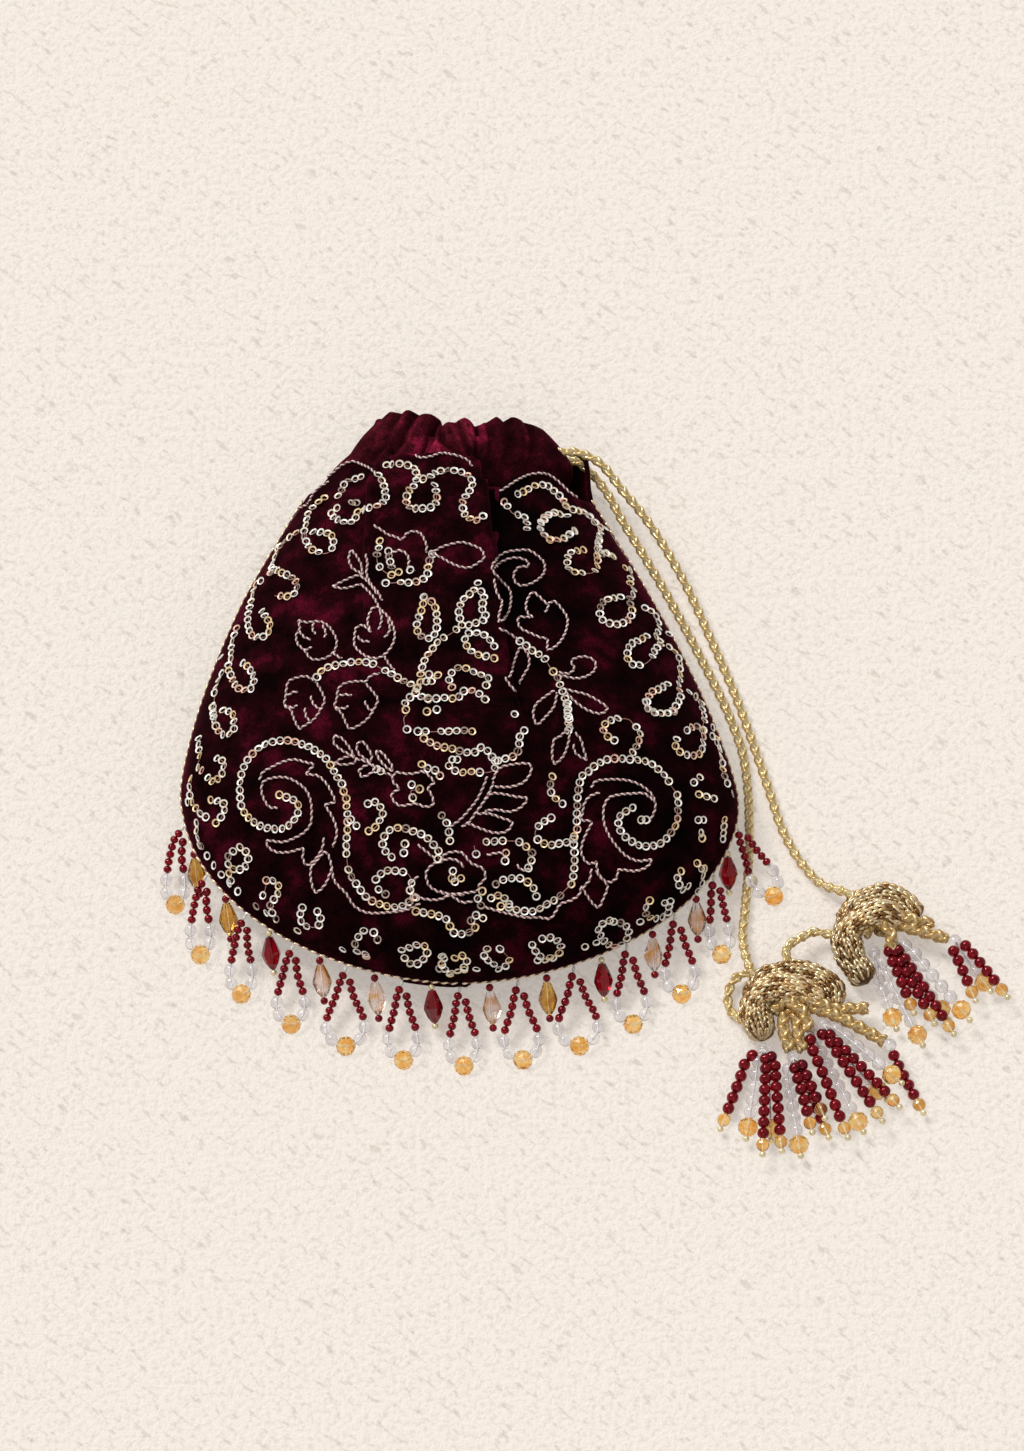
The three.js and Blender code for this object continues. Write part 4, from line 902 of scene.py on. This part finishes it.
def evened(points, normals, pitch):
    lengths = lengthsOf(points)
    where = evenSteps(lengths[-1], pitch)
    normals = np.where((normals @ viewBack)[:, None] < 0, -normals, normals)
    for _ in range(3):
        normals = unit(np.vstack([normals[:1], normals[:-2] + normals[1:-1] + normals[2:], normals[-1:]]))
    return pointsAt(points, where), unit(rowsAt(where, lengths, normals))


def stitchRope(shape, points, normals, size=1.0, tint=(1, 1, 1)):
    points, normals = evened(points, normals, stitch["step"])
    if len(points) < 4:
        return
    side = unit(np.cross(normals, tangentsOf(points)))
    turn = fullTurn * lengthsOf(points) / (stitch["twist"] * size)
    for start, ply, thick in stitch["plies"]:
        out = aroundAxis(turn + start, side, normals)
        line = points + normals * stitch["lift"] * size + out * stitch["off"] * size
        across = unit(np.cross(tangentsOf(line), normals))
        first = unit(np.cross(across, tangentsOf(line)))
        tube, faces = sweepTube(line, first, across, stitch["ply"] * size * thick, stitch["sides"])
        shape.add(tube, faces, np.array(ply) * tint * chance.uniform(0.8, 1.0))


ringTurn = np.linspace(0, fullTurn, sequin["sides"], endpoint=False)
ringSection = [(sequin[edge], height) for edge, height in sequin["section"]]
ringFaces = loopFaces(len(ringSection), sequin["sides"])


def placeSequin(shape, spot, normal, along):
    lean = sequin["tilt"] * along * chance.uniform(-1, 1)
    tilt = unit(normal + lean + sequin["tilt"] * np.cross(normal, along) * chance.uniform(-1, 1))
    first = unit(along - tilt * along.dot(tilt))
    size = chance.uniform(0.94, 1.06)
    ring = aroundAxis(ringTurn, first, np.cross(tilt, first))
    rings = [spot + normal * sequin["lift"] + tilt * h + r * size * ring for r, h in ringSection]
    shape.add(np.concatenate(rings), ringFaces, chance.choice(sequinTints))


def sequinRow(shape, points, normals, pitch, isSewn):
    points, normals = evened(points, normals, pitch)
    for spot, normal, along in zip(points, normals, tangentsOf(points)):
        if isSewn(spot, chance.random()):
            placeSequin(shape, spot, normal, along)


def sewnInRun(spot, luck):
    return luck > sequin["skip"]


def sewnAtBorder(spot, luck):
    return luck < border["lowShare" if spot[1] < border["low"] else "share"]


sequins, ropes, fineThread = Shape(), Shape(), Shape()
for run in sequinRuns:
    for points, normals in onPanel(run):
        line, facing = evened(points, normals, holdThread["step"])
        if len(line) > 3:  # the thread that holds the sequins
            across = unit(np.cross(facing, tangentsOf(line)))
            tube = sweepTube(line + holdThread["lift"] * facing, facing, across, holdThread["radius"], 5)
            fineThread.add(*tube, holdThread["tint"])
        sequinRow(sequins, points, normals, sequin["pitch"], sewnInRun)
for run in ropeRuns:
    for points, normals in onPanel(run):
        stitchRope(ropes, points, normals)

# Rope just inside the front panel's upper left edge.
border = {"left": -45.5, "rows": (178, 60, 150), "lowRows": (0.93, 0, 90), "rope": 0.7, "inset": 2.4,
          "ropeTint": (0.4, 0.2, 0.2), "lift": 0.5, "lean": 1.2, "pitch": 4.2, "low": -20, "lowShare": 0.45,
          "share": 0.12}
for points, normals in castDown(spot for spot in surface[-4, ::-1, :2] if spot[0] < border["left"]):
    stitchRope(ropes, points, normals)

# A border of rope along the seam, with a loose row of sequins beside it.
edgeRows = np.r_[np.linspace(*border["rows"]), bag["widestAt"] * np.linspace(*border["lowRows"]) ** 2]
outline = np.r_[np.c_[-halfWidth(edgeRows), edgeRows], np.c_[halfWidth(edgeRows), edgeRows][::-1][1:]]
outline = askew(np.c_[outline - [0, bag["bellyAt"]], 0 * outline[:, 0]])[:, :2]
outward = unit(np.gradient(outline, axis=0))[:, ::-1] * [1, -1]
edge = np.c_[outline, seamHeight(outline[:, 1] + bag["bellyAt"]) + border["lift"]]
edgeFacing = unit(np.c_[outward, 0 * edge[:, 0] + border["lean"]])
stitchRope(ropes, edge, edgeFacing, border["rope"], border["ropeTint"])
for points, normals in castDown(outline - outward * border["inset"]):
    sequinRow(sequins, points, normals, border["pitch"], sewnAtBorder)
makePiece("embroiderySequins", sequins, sequinFilm, isSmooth=False)
makePiece("embroideryRopes", ropes, goldThread)
makePiece("embroideryThread", fineThread, goldThread)
print("embroidery made", len(sequins.points), "sequins")

# Beads: turned bodies strung along the part's own curves.
beadSizes = {  # pitch or length, and width
    "seed": (2.6, 2.8), "gold": (2.2, 2.4), "tie": (2.6, 1.1), "fringe": (2.75, 3.05), "maroon": (4.0, 4.2),
    "oval": (4.5, 4.3), "clear": (4.6, 4.6), "amber": (6.8, 7.0), "small": (4.6, 4.6), "drop": (11.2, 6.8),
}
beadLooks = {  # the body it is turned to, and the piece it belongs to
    "seed": ("small", "maroon"), "gold": ("small", "gold"), "fringe": ("small", "maroon"),
    "maroon": ("round", "maroon"), "oval": ("round", "clear"), "clear": ("round", "clear"),
    "amber": ("facet", "amber"), "small": ("round", "amber"), "tie": ("small", "thread"),
}
beadGlass = {
    "maroon": (maroonGlass, "maroon_glass", True), "clear": (clearGlass, "maroon_glass", True),
    "amber": (amberGlass, "amber_glass", False), "gold": (goldBraid, "gold_braid", True),
    "thread": (paleThread, "lining", True), "honey": (honeyGlass, "amber_glass", False),
    "ruby": (rubyGlass, "ruby_glass", False), "lustre": (lustreGlass, "amber_glass", False),
}
seeThrough = ("clear", "amber", "honey", "lustre")  # light passes through these
touching = ("fringe", "maroon", "seed", "oval", "clear")  # these fill their pitch
threadWidth, tiltedUp = 0.5, (0.1, 0.2, 0.97)


def turned(profile, sides):
    turn = np.linspace(0, fullTurn, sides, endpoint=False)
    rings = [np.stack([r * np.cos(turn), r * np.sin(turn), 0 * turn + h], axis=-1) for r, h in profile]
    return np.concatenate(rings), tubeFaces(len(profile), sides)


def roundBead(sides, rings, hole=0.16):
    turn = np.linspace(math.asin(hole), math.pi - math.asin(hole), rings)
    return turned([(math.sin(t), -math.cos(t)) for t in turn], sides)


def facetBall():
    form = bmesh.new()
    bmesh.ops.create_icosphere(form, subdivisions=2, radius=1)
    form.verts.index_update()
    made = np.array([v.co for v in form.verts]), [tuple(v.index for v in f.verts) for f in form.faces]
    form.free()
    return made


dropProfile = [(0.36, -1.0), (0.68, -0.55), (0.96, -0.06), (1.0, 0.12), (0.68, 0.64), (0.3, 0.96),
               (0.16, 1.0)]
bodies = {"round": roundBead(14, 9), "small": roundBead(10, 7), "facet": facetBall(),
          "drop": turned(dropProfile, 7)}


def setBead(shape, body, spot, along, width, length, spin=0.0, tint=(1, 1, 1)):
    along = unit(along)
    first = unit(np.cross(along, (0.13, 0.29, 0.95)))
    second = np.cross(along, first)
    c, s = math.cos(spin), math.sin(spin)
    points, faces = bodies[body]
    frameRows = np.array([c * first + s * second, -s * first + c * second, along])
    shape.add(spot + (points * [width / 2, width / 2, length / 2]) @ frameRows, faces, tint)


def strung(shapes, path, beads):
    stretch = lengthsOf(path)[-1] / sum(pitch for _, pitch in beads)
    along = 0.0
    for kind, pitch in beads:
        middle = along + pitch * stretch / 2
        along += pitch * stretch
        if kind == "gap":
            continue
        ends = pointsAt(path, [middle - 0.5, middle + 0.5])
        length, width = beadSizes[kind]
        body, group = beadLooks[kind]
        if kind in touching:
            length = pitch * stretch * 1.03
        shade, spin = chance.uniform(0.82, 1.0), chance.uniform(0, 3)
        setBead(shapes[group], body, ends.mean(axis=0), ends[1] - ends[0], width, length, spin, (shade,) * 3)
    line = spaced(path, 1.0)
    shapes["thread"].add(*sweepTube(line, *framesAlong(line, tiltedUp), threadWidth / 2, 5))


def beadPieces(title, shapes, nodesOf):
    for group, shape in shapes.items():
        if shape.count:
            glass, slot, isSmooth = beadGlass[group]
            made = makePiece(title + group.title(), shape, glass, nodesOf.get(group, []), isSmooth)
            made.visible_shadow = made.visible_diffuse = group not in seeThrough


# Fringe: loops and, between them, drops, hung from the solids' own seam.
fringe = {
    "loops": 13, "from": 58.0, "length": 0.95 * 29.0, "swing": 3.0, "clear": 0.85, "apart": 1.4,
    "loopLeans": (0, 0.1), "dropLeans": (0.16, 0.04), "lastLean": 0.5, "loopRest": 3.6, "dropRest": 3.4,
    "spreads": [3.4, 3.6, 4, 5, 6.8, 5.2, 5, 6.2, 7, 5.4, 5.4, 3.6, 4.4], "spreadBy": 0.94,
    "drops": "honey honey ruby lustre lustre ruby lustre honey ruby lustre lustre ruby".split(),
    "lower": ((0, 1), (0.62, 0.94), (1, 0.8), (0.95, 0.62)), "shoulder": (0.36, 0.38),
}
seamRows = bag["length"] * (1 - np.cos(math.pi / 2 * np.arange(15) / 14))
way = np.linspace(-1, 1, 1601)
seamY = fringe["from"] * way**2
seamX = np.sign(way) * np.interp(seamY, seamRows, halfWidth(seamRows))
seamLine = np.stack([seamX, seamY, seamHeight(seamY)], axis=-1)
seamLength = lengthsOf(seamLine)[-1]
toMiddle = np.array([0, bag["bellyAt"], 0])


def hanger(index, leans):
    share = index / (2 * (fringe["loops"] - 1))
    lean = mix(*leans, share) if share < 1 else fringe["lastLean"]
    where = share * seamLength
    ends = pointsAt(seamLine, np.clip([where - 0.5, where + 0.5], 0, seamLength))
    tangent = unit(np.diff(ends, axis=0)[0])
    point = pointsAt(seamLine, [where])[0] + np.array([tangent[1], -tangent[0], 0]) * fringe["clear"]
    down = np.array([math.sin(lean), -math.cos(lean), 0])
    aside = np.array([math.cos(lean), math.sin(lean), 0])
    return point, down, aside, fringe["swing"] * min(0, tangent[1])


def fringeLoop(shapes, index):
    point, down, aside, swing = hanger(2 * index, fringe["loopLeans"])
    spread, whole = fringe["spreadBy"] * fringe["spreads"][index], fringe["length"]
    apart, pitch = fringe["apart"], beadSizes["fringe"][0]
    drop = point[2] - fringe["loopRest"]
    half = [(p * spread, q * whole) for p, q in fringe["lower"]]
    shoulder = (mix(apart, spread, fringe["shoulder"][0]), fringe["shoulder"][1] * whole)
    left = [(0, 0), (0.6, 2.4), (apart, 1.6 * pitch), shoulder, *half[1:][::-1], half[0]]
    right = [*half[1:], shoulder, (apart, 1.5 * pitch)]
    path = []
    for p, q in [(-p, q) for p, q in left] + right:
        reach = q * math.sqrt(1 - (drop / whole) ** 2)
        fall = drop * (1 - (1 - q / whole) ** 1.6)
        across = p + swing * min(1, 4 * q / whole)
        path.append(point + down * reach + aside * across - [0, 0, fall])
    curve = curveThrough(path)
    lengths = lengthsOf(curve)
    tie, amber, ovals = ("tie", 2.2), ("amber", 6.6), [("oval", 4.6)] * 2
    beside = amber[1] / 2 + 2 * ovals[0][1]
    toAmber = lengths[(len(left) - 1) * spanSteps]

    def fill(room):
        room = room - beside
        count = max(2, round(room / pitch))
        return [("fringe", room / count)] * count

    beads = [tie, *fill(toAmber - tie[1]), *ovals, amber, *ovals, *fill(lengths[-1] - toAmber)]
    strung(shapes, curve - toMiddle, beads)


def fringeDrop(shapes, index):
    point, down, _, _ = hanger(2 * index + 1, fringe["dropLeans"])
    seed = "gold" if index % 3 == 2 else "seed"
    pitch = beadSizes[seed][0]
    size, width = beadSizes["drop"]
    length = size + 2 * pitch
    drop = min(point[2] - fringe["dropRest"], 0.8 * length)
    end = point + down * math.sqrt(length**2 - drop**2) - [0, 0, drop]
    path = np.linspace(point, end, 20) - toMiddle
    strung(shapes, path, [(seed, pitch), ("gap", size), (seed, pitch)])
    setBead(shapes[fringe["drops"][index]], "drop", path.mean(axis=0), path[-1] - path[0], width, size,
            0.3 + 0.5 * index)


shapes = {group: Shape() for group in beadGlass}
for i in range(fringe["loops"]):
    fringeLoop(shapes, i)
for i in range(fringe["loops"] - 1):
    fringeDrop(shapes, i)
dashes = {"pitch": 3.3, "width": 0.9, "length": 2.5, "slant": 0.3, "lift": 0.5, "tint": (1, 0.92, 1)}
seamEdge, seamFacing = evened(edge, edgeFacing, dashes["pitch"])
for spot, normal, along in zip(seamEdge, seamFacing, tangentsOf(seamEdge)):  # gold stitches along the seam
    lean = along + dashes["slant"] * chance.uniform(0.4, 1) * np.cross(normal, along)
    setBead(shapes["gold"], "small", spot + normal * dashes["lift"], lean, dashes["width"], dashes["length"],
            tint=dashes["tint"])
fringeNodes = {"maroon": [f"fringe_loop_{i + 1:02d}" for i in range(fringe["loops"])]}
for i, kind in enumerate(fringe["drops"]):
    fringeNodes.setdefault(kind, []).append(f"fringe_drop_{i + 1:02d}")
beadPieces("fringe", shapes, fringeNodes)
print("fringe made")

# Tassels: a knotted head of knitted tube, thick braids from its hole, and bead strands in clusters.
layers = {"low": 2.9, "step": 4.6}
# the knit's core colour is painted shade in the gaps between the stitches
knit = {"columns": 10, "row": 2.1, "yarn": 0.56, "leg": 4.9, "roll": 4.1, "seat": 0.6, "puff": 0.4,
        "slack": (-0.2, 0.36), "sunk": 0.9, "coreSides": 20, "core": (0.1, 0.055, 0.03),
        "tints": [(1, 1, 0.96), (1, 1, 1), (0.8, 0.68, 0.54), (0.3, 0.19, 0.1)]}
thickBraid = {"radius": 2.55, "strand": 1.1, "lay": 9.5, "step": 0.5, "shade": (0.86, 0.78, 0.7)}
knotBraid = {"radius": 1.2, "strand": 0.5, "lay": 5.0, "step": 0.5, "shade": (0.5, 0.42, 0.34)}


def knitTube(shape, path, radius, shade=1.0):
    ends = tangentsOf(path)[[0, -1]] * radius
    path = spaced(np.vstack([path[0] - ends[0], path, path[-1] + ends[1]]), knit["row"] / 2)
    lengths = lengthsOf(path)
    first, second = framesAlong(path, tiltedUp)
    fromEnd = np.minimum(lengths, lengths[-1] - lengths)
    dome = np.sqrt(np.maximum(0.02, 1 - (1 - np.minimum(fromEnd / radius, 1)) ** 2))
    swell = dome * (1 + 0.07 * np.sin(lengths / 2.7 + 0.7))
    # a dark core under the loops: painted shade in the gaps between stitches
    core = sweepTube(path, first, second, (radius - knit["sunk"]) * swell, knit["coreSides"])
    shape.add(*core, knit["core"])
    s = np.linspace(0, 1, 5)  # along one side of a loop
    bulge = np.sin(math.pi * s)
    for row in range(int(lengths[-1] / knit["row"])):
        for column in range(knit["columns"]):
            slack = chance.uniform(*knit["slack"])
            where = np.clip((row + s * 1.5 - 0.2 + 0.3 * slack) * knit["row"], 0, lengths[-1])
            middle, a, b = (rowsAt(where, lengths, rows) for rows in (path, first, second))
            out = (radius - knit["seat"] + (knit["puff"] + slack) * bulge) * np.interp(where, lengths, swell)
            for side in (-1, 1):
                turn = (column + 0.3 * slack + side * (0.06 + 0.38 * s)) * fullTurn / knit["columns"]
                way = unit(aroundAxis(turn, a, b))
                line = middle + way * out[:, None]
                across = unit(np.cross(tangentsOf(line), way))
                points, faces = sweepTube(line, way, across, knit["yarn"] * (0.7 + 0.4 * bulge), 5)
                shape.add(points, faces, shade * np.array(chance.choice(knit["tints"])))


def capAt(tassel, cluster):
    away = 0.3 + head["cap"] / 2
    if cluster["on"] == "knot":
        out = np.array([math.cos(cluster["turn"]), math.sin(cluster["turn"]), 0])
        return lifted(tassel, tassel["knot"]) + out * (head["knot"] / 2 + away)
    onLeg = cluster["on"] == "leg"
    carrier = curveThrough(lifted(tassel, tassel["leg"] if onLeg else tassel["braids"][cluster["on"]]))
    point, way = alongTube(carrier, cluster["share"])
    side = cluster.get("side")
    if not side:
        return point + way * (away + (head["tube"] / 2 if onLeg else 0))
    return point + unit([-side * way[1], side * way[0], 0]) * (head["tube" if onLeg else "braid"] / 2 + away)


def beadStrand(shapes, cap, start, tip, level, kind):
    tail = [("amber", 6.6) if kind == "clear" else ("small", 4.6), ("gold", 2.2)]
    height = layers["low"] + level * layers["step"]
    end = max(mix(layers["low"], height, 0.6), tail[0][1] / 2 + 0.3)
    heights = [(0.12, mix(cap[2], height, 0.7)), (0.35, height), (0.7, mix(height, end, 0.45)), (1, end)]
    path = curveThrough([cap, *[(*mix(start, tip, share), z) for share, z in heights]])
    pitch = beadSizes[kind][0]
    room = lengthsOf(path)[-1] - head["cap"] / 2 - tail[0][1] - tail[1][1]
    strung(shapes, path, [("gap", head["cap"] / 2), *[(kind, pitch)] * max(2, round(room / pitch)), *tail])


def knotLoop(index):  # one of the loops of braid wound over each other
    spin = np.linspace(0, fullTurn, 40)
    loop = np.stack([1.9 * np.cos(spin), 1.9 * np.sin(spin), 0 * spin], axis=-1)
    tilt, turn = 0.9 * (index - 1.5), 0.8 * index
    ct, st, cr, sr = math.cos(tilt), math.sin(tilt), math.cos(turn), math.sin(turn)
    return loop @ np.array([[cr, sr * ct, sr * st], [-sr, cr * ct, cr * st], [0, -st, ct]])


for name, tassel in tassels.items():
    shapes = {group: Shape() for group in ("maroon", "clear", "amber", "gold", "thread")}
    headShape, braids = Shape(), Shape()
    tubes = [(tassel["leg"], knit["leg"], 0.7)]
    tubes += [(points, knit["roll"], shade) for points, shade in zip(tassel["rolls"], (0.82, 1))]
    for points, radius, shade in tubes:  # the leg, one roll behind, and one wound over it; the leg and the roll behind are painted darker, as painted shade
        knitTube(headShape, curveThrough(lifted(tassel, points)), radius, shade)
    for points in tassel["braids"] + tassel["wound"]:
        braid(braids, curveThrough(lifted(tassel, points)), **thickBraid)
    for k in range(4):
        braid(braids, lifted(tassel, tassel["knot"]) + knotLoop(k), **knotBraid)
    for cluster in tassel["clusters"]:
        cap = capAt(tassel, cluster)
        tips = [np.array(tassel["place"]) + s[:2] for s in cluster["strands"]]
        way = unit(np.r_[np.mean(tips, axis=0) - cap[:2], 0])
        aside = np.array([-way[1], way[0]])
        setBead(shapes["clear"], "facet", cap, way, head["cap"], head["cap"])
        for tip, strand in zip(tips, cluster["strands"]):  # the strands leave the cap side by side
            start = cap[:2] + aside * np.clip(0.34 * aside.dot(tip - cap[:2]), -5, 5)
            beadStrand(shapes, cap, start, tip, strand[2], "clear" if len(strand) > 3 else "maroon")
    title = "tassel" + name.title()
    makePiece(title + "Head", headShape, goldKnit, [f"tassel_{name}_head"])
    makePiece(title + "Braids", braids, goldBraid, [f"tassel_{name}_braids"])
    clusterNodes = [f"tassel_{name}_cluster_{i + 1}" for i in range(len(tassel["clusters"]))]
    beadPieces(title, shapes, {"maroon": clusterNodes})
print("tassels made")
